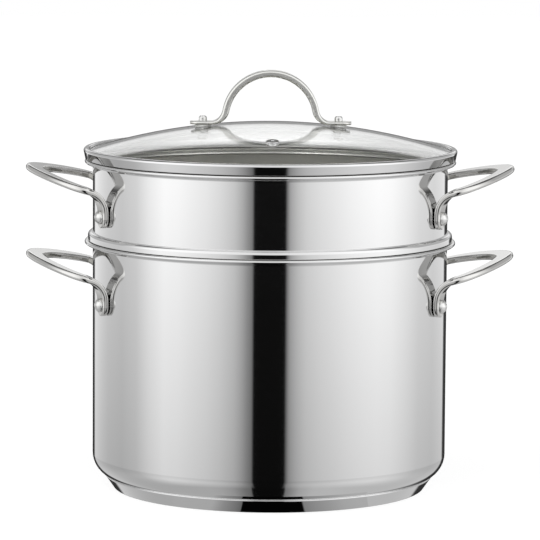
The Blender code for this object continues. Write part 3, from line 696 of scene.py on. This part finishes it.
def loop_handle_mesh():
    """The loop. Its inner edge takes the second material: a rougher steel, darker with painted shade.
    """
    front = half_handle_stations()
    mesh = lofted_mesh("loop_handle", front + mirrored(front, (1, -1, 1)), STRAP_EDGE_ROUND)
    middle = Vector((WALL_OUTER + HANDLE_REACH / 2, 0, 0))
    # Faces beyond the bend that turn inward get the darker steel, as painted shade
    for face in mesh.polygons:
        inward = middle - face.center
        inward.z = 0
        beyond_bend = face.center.z > LEG_RISE + LEG_BEND_RADIUS / 2
        if beyond_bend and face.normal.dot(inward.normalized()) > INNER_EDGE_FACING:
            face.material_index = 1
    return mesh


def rivet_mesh():
    """A domed rivet along +Z, its origin on the wall's outer face, set down on the strap."""
    seat = RIVET_HEAD_SEAT - WALL_OUTER
    head = RIVET_HEAD_DIAMETER / 2
    rise = RIVET_HEAD_HEIGHT - RIVET_HEAD_EDGE
    sphere = (head**2 + rise**2) / (2 * rise)
    top = seat + GAP + RIVET_HEAD_HEIGHT
    dome = []
    spread = math.asin(head / sphere)
    for step in range(RIVET_DOME_STEPS + 1):
        angle = spread * step / RIVET_DOME_STEPS * RIVET_DOME_SHARE
        ray = Vector((math.sin(angle), math.cos(angle)))
        dome.append((Vector((0, top - sphere)) + ray * sphere, ray, ray))
    shank = RIVET_SHANK_DIAMETER / 2
    inner = RIVET_INNER_DIAMETER / 2
    edge = rounded([
        (head, top - rise, 0),
        (head, seat + CLEARANCE, CREASE_ROUND),
        (shank, seat + CLEARANCE, 0),
        (shank, -SHEET - RIVET_INNER_PLAY, 0),
        (inner, -SHEET - RIVET_INNER_PLAY, 0),
        (inner, -SHEET - RIVET_INNER_HEIGHT, SOFT_ROUND),
        (0, -SHEET - RIVET_INNER_HEIGHT, 0),
    ])
    return turned_mesh("rivet", [(0, dome + edge)], SMALL_SEGMENTS)


# Lid
SKIN_FACING = 0.95
HEM_FOOT = 0.0005
HEM_SHOULDER = 0.0002
# The band's materials, in the order in which build_lid gives them. SHADE is a dark steel: painted
# shade.
OUTSIDE, SKIRT, SHADE, SHINE = range(4)


def lid_glass_mesh():
    """The dome with its three holes, whose skins keep the normals of true spheres."""
    outline = dome_outline(DOME_OUTER, 0, GLASS_EDGE, 1)
    outline += dome_outline(DOME_INNER, GLASS_EDGE, 0, -1)
    edge_out = Vector((1, 0))
    turn = DOME_RINGS
    outline[turn] = (*outline[turn][:2], edge_out)
    outline[turn + 1] = (outline[turn + 1][0], edge_out, outline[turn + 1][2])
    mesh = turned_mesh("glass_lid", [(0, outline)])
    through = 4 * GLASS_THICKNESS
    vent = Matrix.Translation(VENT_PLACE) @ Matrix.Rotation(VENT_LEAN, 4, "X")
    cutters = [cylinder_cutter(VENT_TUBE_DIAMETER + 2 * CLEARANCE, through, vent)]
    middle = dome_height(SCREW_X, DOME_OUTER) - GLASS_THICKNESS / 2
    for side in (-1, 1):
        place = Matrix.Translation((side * SCREW_X, 0, middle))
        cutters.append(cylinder_cutter(SCREW_DIAMETER + 2 * GAP, through, place))
    mesh = cut_mesh(mesh, cutters)
    smooth_by_angle(mesh)
    centre = Vector((0, 0, DOME_CENTRE))
    normals = []
    for face in mesh.polygons:
        for loop_index in face.loop_indices:
            corner = mesh.corner_normals[loop_index].vector
            ray = (mesh.vertices[mesh.loops[loop_index].vertex_index].co - centre).normalized()
            facing = face.normal.dot(ray)
            normal = ray * math.copysign(1, facing) if abs(facing) > SKIN_FACING else corner
            normals.append(tuple(normal))
    mesh.normals_split_custom_set(normals)
    return mesh


def lid_band_mesh():
    """Steel band: lip over the glass, band, seat on the insert's rim and locating skirt."""
    lip_inner = GLASS_EDGE - GLASS_GRIP
    lip_under = dome_height(lip_inner, DOME_OUTER) + CLEARANCE
    lip_top = lip_under + LIP_THICKNESS + 2 * CLEARANCE
    plate_top = LID_SEAT + LID_SHEET
    skirt_outer = WALL_INNER - SKIRT_PLAY
    skirt_inner = skirt_outer - LID_SHEET
    skirt_bottom = INSERT_RIM_HEIGHT - SKIRT_DEPTH
    hem_inner = skirt_inner - HEM_REACH
    hem_top = skirt_bottom + HEM_HEIGHT
    ridge = skirt_bottom + RIDGE_RISE
    outline = rounded([
        (lip_inner, lip_under, EDGE_ROUND),
        (lip_inner, lip_top, LIP_THICKNESS / 2),
        (BAND_OUTER, lip_top, BAND_TOP_ROUND),
        (BAND_OUTER - BAND_TAPER, INSERT_RIM_HEIGHT + BAND_LIFT, FOLD_ROUND),
        (RIM_TIP - RIM_THICKNESS, LID_SEAT, FOLD_ROUND),
        (skirt_outer, LID_SEAT, SOFT_ROUND),
        (skirt_outer, skirt_bottom, SKIRT_ROUND),
        (hem_inner, skirt_bottom, SOFT_ROUND),
        (hem_inner, hem_top, HEM_TOP_ROUND),
        (skirt_inner, hem_top, CREASE_ROUND),
        (skirt_inner, ridge - RIDGE_HALF_HEIGHT, CREASE_ROUND),
        (skirt_inner - RIDGE_REACH, ridge, FOLD_ROUND),
        (skirt_inner, ridge + RIDGE_HALF_HEIGHT, CREASE_ROUND),
        (skirt_inner, plate_top, SOFT_ROUND),
        (BAND_INNER, plate_top, EDGE_ROUND),
        (BAND_INNER, dome_height(BAND_INNER, DOME_OUTER) + CLEARANCE, CREASE_ROUND),
    ], closed=True)
    # Inside the skirt, by height: the hem's underside and the recess above the ridge get SHADE, painted
    # shade
    zones = (
        (skirt_bottom + HEM_FOOT, SHADE),
        (hem_top - HEM_SHOULDER, SHINE),
        (ridge - RIDGE_HALF_HEIGHT - CREASE_ROUND, SKIRT),
        (ridge + RIDGE_HALF_HEIGHT / 2, SHINE),
        (math.inf, SHADE),
    )
    runs = []
    finish = OUTSIDE
    for entry in outline:
        place = entry[0]
        if place.x < skirt_inner + CLEARANCE:
            finish = next(choice for height, choice in zones if place.y <= height)
        elif finish != OUTSIDE:
            finish = SHINE
        runs.append((finish, [entry]))
    return turned_mesh("band_lid", runs, closed=True)


def arch_stations():
    """From the right foot's tip over the arch to its top."""
    thick = ARCH_THICKNESS / 2
    thin = ARCH_FOOT_THICKNESS / 2
    half = ARCH_WIDTH / 2
    bend_centre = Vector((FOOT_BEND_X, ARCH_BEND_RADIUS))
    arch_centre = Vector((0, ARCH_RISE - ARCH_RADIUS))
    meet = math.atan2(bend_centre.y - arch_centre.y, bend_centre.x)
    flat = []
    for setback, width, lean in toe(half):
        flat.append((Vector((ARCH_TIP_X - setback, 0)), Vector((0, 1)), thin, width, lean))
    for step in range(BEND_STEPS + 1):
        part = step / BEND_STEPS
        inward = ray_at(-math.pi / 2 - (math.pi / 2 - meet) * part)
        height = thin + (thick - thin) * part * part * (3 - 2 * part)
        flat.append((bend_centre + inward * ARCH_BEND_RADIUS, -inward, height, half, 0))
    for step in range(1, 2 * BEND_STEPS + 1):
        outward = ray_at(meet + (math.pi / 2 - meet) * step / (2 * BEND_STEPS))
        flat.append((arch_centre + outward * ARCH_RADIUS, outward, thick, half, 0))
    stations = []
    for spot, normal, height, width, lean in flat:
        place = Vector((spot.x, 0, spot.y + FOOT_CENTRE_HEIGHT))
        up = Vector((normal.x, 0, normal.y))
        stations.append((place, Vector((0, 1, 0)), up, width, height, lean))
    return stations


def lid_handle_mesh():
    right = arch_stations()
    return lofted_mesh("arch_lid", right + mirrored(right, (-1, 1, 1)), ARCH_EDGE_ROUND)


# Lid fasteners, each along +Z about the right-hand screw's axis
def pad_mesh(name, low, high):
    """A silicone ring whose faces follow the dome, given as functions of the place."""
    outer = PAD_DIAMETER / 2
    inner = SCREW_DIAMETER / 2 + GAP
    deep = FOOT_PAD_THICKNESS
    mesh = small_mesh(name, [
        (inner, deep, 0),
        (outer, deep, FOLD_ROUND),
        (outer, 0, FOLD_ROUND),
        (inner, 0, 0),
    ], closed=True)
    for vertex in mesh.vertices:
        radius = math.hypot(SCREW_X + vertex.co.x, vertex.co.y)
        vertex.co.z = low(radius) + (high(radius) - low(radius)) * vertex.co.z / deep
    smooth_by_angle(mesh)
    return mesh


def washer_mesh():
    top = LOWER_PAD_UNDERSIDE - GAP
    low = top - WASHER_THICKNESS
    inner = SCREW_DIAMETER / 2 + GAP
    outer = WASHER_DIAMETER / 2
    return small_mesh("washer", [
        (inner, top, EDGE_ROUND),
        (outer, top, FOLD_ROUND),
        (outer, low, FOLD_ROUND),
        (inner, low, EDGE_ROUND),
    ], closed=True)


def screw_mesh():
    """A screw from below the glass up into its nut, with a cross cut in its round head."""
    head_top = LOWER_PAD_UNDERSIDE - WASHER_THICKNESS - 2 * GAP
    head_low = head_top - SCREW_HEAD_HEIGHT
    head = SCREW_HEAD_DIAMETER / 2
    shank = SCREW_DIAMETER / 2
    tip = FOOT_TOP + SCREW_TIP_RISE
    mesh = small_mesh("screw", [
        (0, tip, 0),
        (shank, tip, FOLD_ROUND),
        (shank, head_top, 0),
        (head, head_top, FOLD_ROUND),
        (head, head_low, SCREW_HEAD_ROUND),
        (0, head_low, 0),
    ])
    foot = Matrix.Translation((0, 0, head_low))
    turns = [Matrix.Rotation(angle, 4, "Z") for angle in (0, math.pi / 2)]
    mesh = cut_mesh(mesh, [box_cutter(SCREW_RECESS, foot @ turn) for turn in turns])
    smooth_by_angle(mesh)
    return mesh


def cap_nut_mesh():
    low = FOOT_TOP + TOUCH_GAP
    top = FOOT_TOP + GAP + NUT_HEIGHT
    outer = NUT_DIAMETER / 2
    bore = SCREW_DIAMETER / 2
    return small_mesh("cap_nut", [
        (0, top, 0),
        (outer * NUT_TOP_SHARE, top, SOFT_ROUND),
        (outer, top - NUT_SLOPE, FLANGE_ROUND),
        (outer, low, EDGE_ROUND),
        (bore, low, 0),
        (bore, low + SCREW_TIP_RISE, 0),
        (0, low + SCREW_TIP_RISE, 0),
    ])


def vent_eyelet_mesh():
    """A tube with a flange on either side of the glass, from the glass's upper face."""
    bore = VENT_BORE / 2
    tube = VENT_TUBE_DIAMETER / 2
    flange = VENT_FLANGE_DIAMETER / 2
    lower = -GLASS_THICKNESS - TOUCH_GAP
    top = GAP + VENT_FLANGE_THICKNESS
    bottom = -GLASS_THICKNESS - GAP - VENT_FLANGE_THICKNESS
    return small_mesh("eyelet", [
        (bore, top, SOFT_ROUND),
        (flange, top, FLANGE_ROUND),
        (flange, TOUCH_GAP, CREASE_ROUND),
        (tube, TOUCH_GAP, 0),
        (tube, lower, 0),
        (flange, lower, CREASE_ROUND),
        (flange, bottom, FLANGE_ROUND),
        (bore, bottom, FLANGE_ROUND),
    ], closed=True)


# Materials
GRAIN_SHARE = 0.6
GRAIN_DETAIL = 5.0
GRAIN_ROUGHNESS = 0.6
MARK_DETAIL = 4.0
NOISE_LOW = 0.3
NOISE_HIGH = 0.7
FINE_GRAIN = (900, 900, 900)
LINES = (12, 12, 2600)
WIDE_MARKS = (9, 9, 9)
CLOSE_MARKS = (60, 60, 60)
WIDE_HAZE = (14, 14, 14)
HAZE_FADE = (0.45, 0.8, 0.0, 0.003)


def set_inputs(node, values):
    """Set the node's sockets, by name or number, to plain values, or link them to outputs."""
    for key, value in values.items():
        socket = node.inputs[key]
        if isinstance(value, bpy.types.NodeSocket):
            node.id_data.links.new(value, socket)
        else:
            socket.default_value = value


def add_node(tree, kind, values=None, **settings):
    node = tree.nodes.new(kind)
    for key, value in settings.items():
        setattr(node, key, value)
    set_inputs(node, values or {})
    return node


def output(tree, kind, values, **settings):
    """The first output of a new node."""
    return add_node(tree, kind, values, **settings).outputs[0]


def new_material(name, colour, roughness, metallic):
    """A material, its node tree and its shader."""
    material = bpy.data.materials.new(name)
    material.use_nodes = True
    tree = material.node_tree
    shader = tree.nodes["Principled BSDF"]
    set_inputs(shader, {"Base Color": (*colour, 1), "Roughness": roughness, "Metallic": metallic})
    return material, tree, shader


def noise(tree, scale, detail, roughness=0.5):
    """Noise in the object's own space, stretched by a scale for each axis."""
    place = add_node(tree, "ShaderNodeTexCoord").outputs["Object"]
    stretched = output(tree, "ShaderNodeMapping", {"Vector": place, "Scale": scale})
    values = {"Vector": stretched, "Scale": 1.0, "Detail": detail, "Roughness": roughness}
    return output(tree, "ShaderNodeTexNoise", values)


def map_range(tree, source, low, high, new_low=0.0, new_high=1.0):
    values = {"Value": source, "From Min": low, "From Max": high, "To Min": new_low, "To Max": new_high}
    return output(tree, "ShaderNodeMapRange", values)


def math_node(tree, operation, *values):
    return output(tree, "ShaderNodeMath", dict(enumerate(values)), operation=operation)


def times(tree, first, second):
    return math_node(tree, "MULTIPLY", first, second)


def mix_levels(tree, share, first, second):
    return output(tree, "ShaderNodeMix", {0: share, 2: first, 3: second}, data_type="FLOAT")


def mix_colours(tree, share, first, second):
    values = {"Factor": share, 6: (*first, 1), 7: (*second, 1)}
    return add_node(tree, "ShaderNodeMix", values, data_type="RGBA").outputs[2]


def bump(tree, source, depth, strength=1.0, **before):
    """Relief from a source, on top of the relief before it, if that is given as Normal."""
    values = {"Height": source, "Distance": depth, "Strength": strength, **before}
    return output(tree, "ShaderNodeBump", values)


def steel(name, dark, light, roughness, grain, grain_depth, wave_depth, marks=WIDE_MARKS):
    """Stainless steel: soft marks and fine grain lines vary its tint, roughness and relief."""
    material, tree, shader = new_material(name, light, roughness[0], 1.0)
    soft = noise(tree, marks, MARK_DETAIL)
    fine = noise(tree, grain, GRAIN_DETAIL, GRAIN_ROUGHNESS)
    soft_part = times(tree, soft, 1 - GRAIN_SHARE)
    both = math_node(tree, "MULTIPLY_ADD", fine, GRAIN_SHARE, soft_part)
    waves = bump(tree, soft, wave_depth)
    set_inputs(shader, {
        "Base Color": mix_colours(tree, soft, dark, light),
        "Roughness": map_range(tree, both, NOISE_LOW, NOISE_HIGH, *roughness),
        "Normal": bump(tree, fine, grain_depth, Normal=waves),
    })
    return material


def glass(name):
    """Clear glass with the faintest haze in places."""
    material, tree, shader = new_material(name, (0.985, 0.99, 0.985), 0.0, 0.0)
    haze = noise(tree, WIDE_HAZE, MARK_DETAIL)
    set_inputs(shader, {
        "Transmission Weight": 1.0,
        "IOR": 1.5,
        "Roughness": map_range(tree, haze, *HAZE_FADE),
    })
    return material


def silicone(name):
    """Milky silicone with a fine, dull grain."""
    material, tree, shader = new_material(name, (0.72, 0.72, 0.70), 0.42, 0.0)
    grain = noise(tree, FINE_GRAIN, 2.0)
    set_inputs(shader, {
        "Subsurface Weight": 0.25,
        "Subsurface Radius": (0.001, 0.001, 0.001),
        "Base Color": mix_colours(tree, grain, (0.68, 0.68, 0.66), (0.76, 0.76, 0.74)),
        "Roughness": map_range(tree, grain, NOISE_LOW, NOISE_HIGH, 0.36, 0.5),
        "Normal": bump(tree, grain, 2e-5, 0.5),
    })
    return material


# Each steel: two tints, range of roughness, scale of grain, depths of grain and waves, scale of marks
STEEL = steel("mirror_steel", (0.78, 0.78, 0.782), (0.82, 0.82, 0.822), (0.035, 0.075),
              (5, 5, 1500), 4e-7, 4e-6)
SATIN = steel("satin_steel", (0.86, 0.85, 0.79), (0.91, 0.90, 0.84), (0.38, 0.46),
              LINES, 4e-6, 6e-6)
INNER_STEEL = steel("inner_steel", (0.70, 0.70, 0.68), (0.77, 0.77, 0.75), (0.16, 0.24),
                    LINES, 4e-6, 6e-6)
# Dark steel inside the lid band's skirt: painted shade under the hem and above the ridge
PAINTED_SHADE_STEEL = steel("painted_shade_steel", (0.13, 0.128, 0.105), (0.18, 0.177, 0.15), (0.28, 0.36),
                   FINE_GRAIN, 2e-6, 1e-5, CLOSE_MARKS)
HANDLE_STEEL = steel("handle_steel", (0.72, 0.715, 0.70), (0.78, 0.775, 0.76), (0.05, 0.09),
                     FINE_GRAIN, 1.2e-6, 1e-5, (40, 40, 40))
# Darker steel on the loop handles' inner edges: painted shade, besides a rougher finish
SHADED_INNER_EDGE_STEEL = steel("painted_shade_edge_steel", (0.36, 0.355, 0.33), (0.44, 0.435, 0.41), (0.16, 0.26),
                         FINE_GRAIN, 2e-6, 1e-5, CLOSE_MARKS)
ARCH_STEEL = steel("arch_steel", (0.84, 0.84, 0.81), (0.90, 0.90, 0.87), (0.26, 0.34),
                   (30, 1200, 1200), 2e-6, 1e-5, CLOSE_MARKS)
FASTENER_STEEL = steel("fastener_steel", (0.80, 0.80, 0.79), (0.86, 0.86, 0.85), (0.22, 0.32),
                       (1400, 1400, 1400), 1.5e-6, 4e-6, (120, 120, 120))
ALUMINIUM = steel("rolled_aluminium", (0.72, 0.72, 0.73), (0.78, 0.78, 0.79), (0.3, 0.42),
                  (20, 1800, 20), 4e-6, 4e-6)
GLASS = glass("tempered_glass")
SILICONE = silicone("clear_silicone")


# Object
def build_pot():
    shell = new_object("shell_pot", pot_shell_mesh(), STEEL, INNER_STEEL)
    dress(shell, "pot", "pot_body")
    cup = new_object("cup_base", base_cup_mesh(), STEEL)
    dress(cup, "pot", "base_cap")
    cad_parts["base_core"].material_slots[0].material = ALUMINIUM


def build_insert():
    shell = new_object("shell_insert", insert_shell_mesh(), STEEL, SATIN)
    dress(shell, "insert", "insert_basket")
    basket = new_object("basket_insert", basket_mesh(), STEEL, SATIN)
    dress(basket, "insert", "insert_basket")


def build_handles(body, rivet_height, handle, rivet):
    for side, turn in (("right", 0), ("left", math.pi)):
        item = new_object(f"handle_{body}_{side}", handle, HANDLE_STEEL, SHADED_INNER_EDGE_STEEL)
        item.location = (0, 0, rivet_height)
        item.rotation_euler = (0, 0, turn)
        dress(item, body, f"{body}_handle_{side}")
    for foot, angle in FOOT_ANGLES.items():
        item = new_object(f"rivet_{body}_{foot}", rivet, FASTENER_STEEL)
        item.location = around(WALL_OUTER, angle, rivet_height)
        item.rotation_euler = (0, math.pi / 2, angle)
        dress(item, body, f"{body}_rivet_{foot}")


def build_lid():
    pane = new_object("glass_lid", lid_glass_mesh(), GLASS)
    dress(pane, "lid", "lid_glass")
    band = new_object("band_lid", lid_band_mesh(), STEEL, SATIN, PAINTED_SHADE_STEEL, ARCH_STEEL)
    dress(band, "lid", "lid_rim")
    arch = new_object("arch_lid", lid_handle_mesh(), ARCH_STEEL)
    dress(arch, "lid", "lid_handle")
    upper_pad = pad_mesh("upper_pad", lambda radius: dome_height(radius, DOME_OUTER) + CLEARANCE,
                         lambda radius: FOOT_UNDERSIDE - CLEARANCE)
    lower_pad = pad_mesh("lower_pad", lambda radius: LOWER_PAD_UNDERSIDE,
                         lambda radius: dome_height(radius, DOME_INNER) - CLEARANCE)
    fittings = {
        "lid_upper_gasket": (upper_pad, SILICONE, "silicone"),
        "lid_lower_gasket": (lower_pad, SILICONE, "silicone"),
        "lid_washer": (washer_mesh(), FASTENER_STEEL, "fasteners"),
        "lid_screw": (screw_mesh(), FASTENER_STEEL, "fasteners"),
        "lid_cap_nut": (cap_nut_mesh(), FASTENER_STEEL, "fasteners"),
    }
    for node, (mesh, material, slot) in fittings.items():
        for side, x, turn in (("right", SCREW_X, 0), ("left", -SCREW_X, math.pi)):
            item = new_object(f"fine_{node}_{side}", mesh, material)
            item.location = (x, 0, 0)
            item.rotation_euler = (0, 0, turn)
            dress(item, "lid", f"{node}_{side}")
    eyelet = new_object("eyelet_lid", vent_eyelet_mesh(), STEEL)
    eyelet.location = VENT_PLACE
    eyelet.rotation_euler = (VENT_LEAN, 0, 0)
    dress(eyelet, "lid", "steam_vent_eyelet")


# Studio
# What the steel reflects, level with the camera and below: (degrees round from the camera, brightness)
LOW_BAND = [
    (-161, 0.035), (-158, 0.66), (-129, 0.50), (-111, 0.47), (-96, 0.53), (-84, 0.69), (-72, 0.80),
    (-61, 0.78), (-41, 0.665), (-31.5, 0.58), (-22.7, 0.468), (-17.5, 0.347), (-14.2, 0.238),
    (-11.2, 0.165), (-10.7, 0.004), (11.0, 0.004), (11.4, 0.24), (13.6, 0.32), (17.5, 0.43),
    (23.5, 0.54), (33, 0.62), (52, 0.74), (63, 0.79), (74, 0.82), (85, 0.80), (98, 0.71),
    (113, 0.59), (132, 0.54), (155, 0.60), (158, 0.035),
]
# The bright panels above the camera's level, the same on both sides of the camera
UPPER_HALF = [
    (8, 0.72), (32, 0.84), (56, 1.0), (90, 1.0), (125, 1.2), (150, 1.2), (165, 0.9), (174.5, 0.9),
    (177, 1.14), (180, 1.2),
]
UPPER_BAND = [(-angle, level) for angle, level in reversed(UPPER_HALF)] + UPPER_HALF
# What it reflects from below, as multiples of the dark gap's half width: (multiple, brightness)
DOWN_BAND = [
    (-3.7, 0.51), (-3.0, 0.48), (-2.2, 0.39), (-1.7, 0.28), (-1.37, 0.21), (-1.03, 0.17),
    (-0.98, 0.004), (0.98, 0.004), (1.03, 0.22), (1.3, 0.29), (1.7, 0.41), (1.9, 0.47), (2.8, 0.59),
    (3.7, 0.62),
]
DOWN_BAND_REACH = 4.0
DOWN_SHARE = 0.73
GAP_HALF_WIDTH = 0.0902
GAP_TAPER = 0.0978
GAP_LEAST_HALF_WIDTH = 0.005
HALF_TURN = 180
STEEL_REFLECTANCE = 0.80
SIDE_BACK_LEVEL = 0.40
BEHIND_BEND = 5.5
# How the levels change with a ray's direction: (from, to), where one level gives way to the next,
# or (from, to, factor or level there, factor or level here). Straight down is -1, straight up is 1.
LOW_FADE = (-0.19, -0.095, 0.74, 1.22)
LOW_LIFT = (-0.50, -0.28, 1.15, 1.0)
DOWN_START = (-0.41, -0.75)
FRONT_FADE = (0.6, 0.95, 1.0, 0.88)
BEHIND_FADE = (0.44, 0.475, 1.02, 0.08)
HORIZON_STEP = (0.106, 0.116, 0.32, 0.68)
BEHIND_START = (0.12, 0.37)
SIDE_BACK_START = (0.55, 0.75)
SIDE_START = (0.35, 0.5)
BACK_START = (-0.1, 0.3)
UPPER_START = (-0.03, 0.03)
# Painted reflection, for the base's edge, of the floor in front of it, darker towards the middle with a
# dark gap: (metres from the middle, brightness)
FLOOR_BAND = [
    (-0.060, 0.38), (-0.041, 0.37), (-0.033, 0.25), (-0.024, 0.165), (-0.0205, 0.12), (-0.0200, 0.001),
    (0.0222, 0.001), (0.0228, 0.20), (0.031, 0.254), (0.041, 0.305), (0.051, 0.363), (0.062, 0.391),
]
FLOOR_BAND_REACH = 0.08
FLOOR_CARD_INSET = 0.001
FLOOR_CARD_START = WALL_OUTER - BASE_INSET - FLOOR_CARD_INSET
FLOOR_CARD_DEPTH = 0.009
FLOOR_CARD_SPREAD = math.radians(38)
FLOOR_CARD_STEPS = 24
FLOOR_CARD_DROP = 0.0001
FLOOR_DROP = 0.0002
FLOOR_COLOUR = (0.30, 0.30, 0.30)
FLOOR_GLOW = 0.80
FLOOR_REACH = 6.0
LAMP_AIM = Vector((0, 0, 0.1))


def ramp(tree, source, stops, reach):
    """A brightness by place, from stops between -reach and reach."""
    share = map_range(tree, source, -reach, reach)
    node = add_node(tree, "ShaderNodeValToRGB", {"Fac": share})
    elements = node.color_ramp.elements
    while len(elements) > 1:
        elements.remove(elements[-1])
    elements[0].position = 0.5 + stops[0][0] / (2 * reach)
    for place, _ in stops[1:]:
        elements.new(0.5 + place / (2 * reach))
    for element, (_, level) in zip(elements, stops):
        element.color = (level, level, level, 1)
    return node.outputs[0]


def build_world():
    """A white studio for the camera. Metal sees its panels: bright sides, a dark gap in front."""
    world = bpy.data.worlds.new("studio")
    bpy.context.scene.world = world
    world.use_nodes = True
    tree = world.node_tree
    generated = add_node(tree, "ShaderNodeTexCoord").outputs["Generated"]
    turned = output(tree, "ShaderNodeVectorRotate", {"Vector": generated, "Angle": -CAMERA_AZIMUTH},
                    rotation_type="Z_AXIS")
    across, deep, high = add_node(tree, "ShaderNodeSeparateXYZ", {0: turned}).outputs
    azimuth = math_node(tree, "ARCTAN2", across, times(tree, deep, -1))
    degrees = math_node(tree, "DEGREES", azimuth)

    low = ramp(tree, degrees, LOW_BAND, HALF_TURN)
    for change in (LOW_FADE, LOW_LIFT):
        low = times(tree, low, map_range(tree, high, *change))
    half_width = map_range(tree, deep, -1, 1, GAP_HALF_WIDTH + GAP_TAPER, GAP_HALF_WIDTH - GAP_TAPER)
    half_width = math_node(tree, "MAXIMUM", half_width, GAP_LEAST_HALF_WIDTH)
    multiple = math_node(tree, "DIVIDE", across, half_width)
    down = times(tree, ramp(tree, multiple, DOWN_BAND, DOWN_BAND_REACH), DOWN_SHARE)
    low = mix_levels(tree, map_range(tree, high, *DOWN_START), low, down)

    panels = ramp(tree, degrees, UPPER_BAND, HALF_TURN)
    front = times(tree, panels, map_range(tree, high, *FRONT_FADE))
    bend = times(tree, times(tree, across, across), BEHIND_BEND)
    bent = math_node(tree, "ADD", high, bend)
    panels = times(tree, panels, map_range(tree, bent, *BEHIND_FADE))
    horizon = map_range(tree, high, *HORIZON_STEP)
    behind = mix_levels(tree, map_range(tree, high, *BEHIND_START), horizon, panels)
    side_back = mix_levels(tree, map_range(tree, high, *SIDE_BACK_START), SIDE_BACK_LEVEL, panels)
    sideways = math_node(tree, "ABSOLUTE", across)
    behind = mix_levels(tree, map_range(tree, sideways, *SIDE_START), behind, side_back)
    upper = mix_levels(tree, map_range(tree, deep, *BACK_START), front, behind)

    level = mix_levels(tree, map_range(tree, high, *UPPER_START), low, upper)
    level = times(tree, level, 1 / STEEL_REFLECTANCE)
    path = add_node(tree, "ShaderNodeLightPath").outputs
    unreflected = math_node(tree, "LESS_THAN", path["Glossy Depth"], 0.5)
    through = times(tree, path["Is Transmission Ray"], unreflected)
    seen = math_node(tree, "MAXIMUM", path["Is Camera Ray"], through)
    level = mix_levels(tree, seen, level, 1.0)
    set_inputs(tree.nodes["Background"], {"Color": level, "Strength": 1.0})


def glow(shader, level):
    """Let a stage surface shine evenly, without a gloss of its own."""
    set_inputs(shader, {
        "Specular IOR Level": 0.0,
        "Emission Color": (1, 1, 1, 1),
        "Emission Strength": level,
    })


def build_floor():
    """A plain pale floor that keeps the object's shadow. Metal sees the studio below it instead."""
    corners = [(x * FLOOR_REACH, y * FLOOR_REACH, 0) for x, y in ((-1, -1), (1, -1), (1, 1), (-1, 1))]
    mesh = listed_mesh("floor", corners, [(0, 1, 2, 3)])
    material, _, shader = new_material("pale_floor", FLOOR_COLOUR, 0.9, 0.0)
    glow(shader, FLOOR_GLOW)
    floor = new_object("studio_floor", mesh, material)
    floor.location = (0, 0, -FLOOR_DROP)
    floor.visible_glossy = False


def build_floor_card():
    """A glowing card on the floor just in front of the base: a painted reflection of the floor there,
    darker with a dark gap. Only reflections show it.
    """
    vertices = []
    faces = []
    for step in range(FLOOR_CARD_STEPS + 1):
        angle = -math.pi / 2 + FLOOR_CARD_SPREAD * (2 * step / FLOOR_CARD_STEPS - 1)
        vertices.append(around(FLOOR_CARD_START, angle, 0))
        vertices.append(around(FLOOR_CARD_START + FLOOR_CARD_DEPTH, angle, 0))
        if step:
            faces.append([2 * step - 2, 2 * step - 1, 2 * step + 1, 2 * step])
    mesh = listed_mesh("painted_floor_reflection", vertices, faces)
    material, tree, shader = new_material("painted_floor_reflection", (0, 0, 0), 1.0, 0.0)
    place = add_node(tree, "ShaderNodeTexCoord").outputs["Object"]
    across = output(tree, "ShaderNodeSeparateXYZ", {0: place})
    level = ramp(tree, across, FLOOR_BAND, FLOOR_BAND_REACH)
    glow(shader, times(tree, level, 1 / STEEL_REFLECTANCE))
    card = new_object("painted_floor_reflection", mesh, material)
    card.location = (0, 0, -FLOOR_CARD_DROP)
    card.visible_camera = False
    card.visible_diffuse = False
    card.visible_transmission = False
    card.visible_shadow = False


def add_lamp(name, place, size, power):
    data = bpy.data.lights.new(name, "AREA")
    data.shape = "DISK"
    data.size = size
    data.energy = power
    lamp = new_object(name, data)
    lamp.location = place
    lamp.rotation_euler = (LAMP_AIM - Vector(place)).to_track_quat("-Z", "Y").to_euler()
    lamp.visible_glossy = False


def build_camera():
    data = bpy.data.cameras.new("camera")
    data.sensor_width = SENSOR
    data.lens = SENSOR * FOCAL_PIXELS / IMAGE_PIXELS
    data.clip_start = 0.01
    data.clip_end = 100
    camera = new_object("camera", data)
    camera.matrix_world = (
        Matrix.Translation(CAMERA_TARGET)
        @ Matrix.Rotation(CAMERA_AZIMUTH, 4, "Z")
        @ Matrix.Rotation(math.pi / 2 - CAMERA_ELEVATION, 4, "X")
        @ Matrix.Rotation(CAMERA_ROLL, 4, "Z")
        @ Matrix.Translation((0, 0, CAMERA_DISTANCE))
    )
    bpy.context.scene.camera = camera


handle_shape = loop_handle_mesh()
rivet_shape = rivet_mesh()
build_pot()
build_insert()
build_handles("pot", POT_RIVET_HEIGHT, handle_shape, rivet_shape)
build_handles("insert", INSERT_RIVET_HEIGHT, handle_shape, rivet_shape)
build_lid()
build_world()
build_floor()
build_floor_card()
add_lamp("key", (-1.1, -1.3, 2.0), 1.4, 16)
add_lamp("fill", (1.4, -0.6, 1.8), 1.6, 9)
build_camera()
bpy.context.scene.view_settings.view_transform = "Standard"
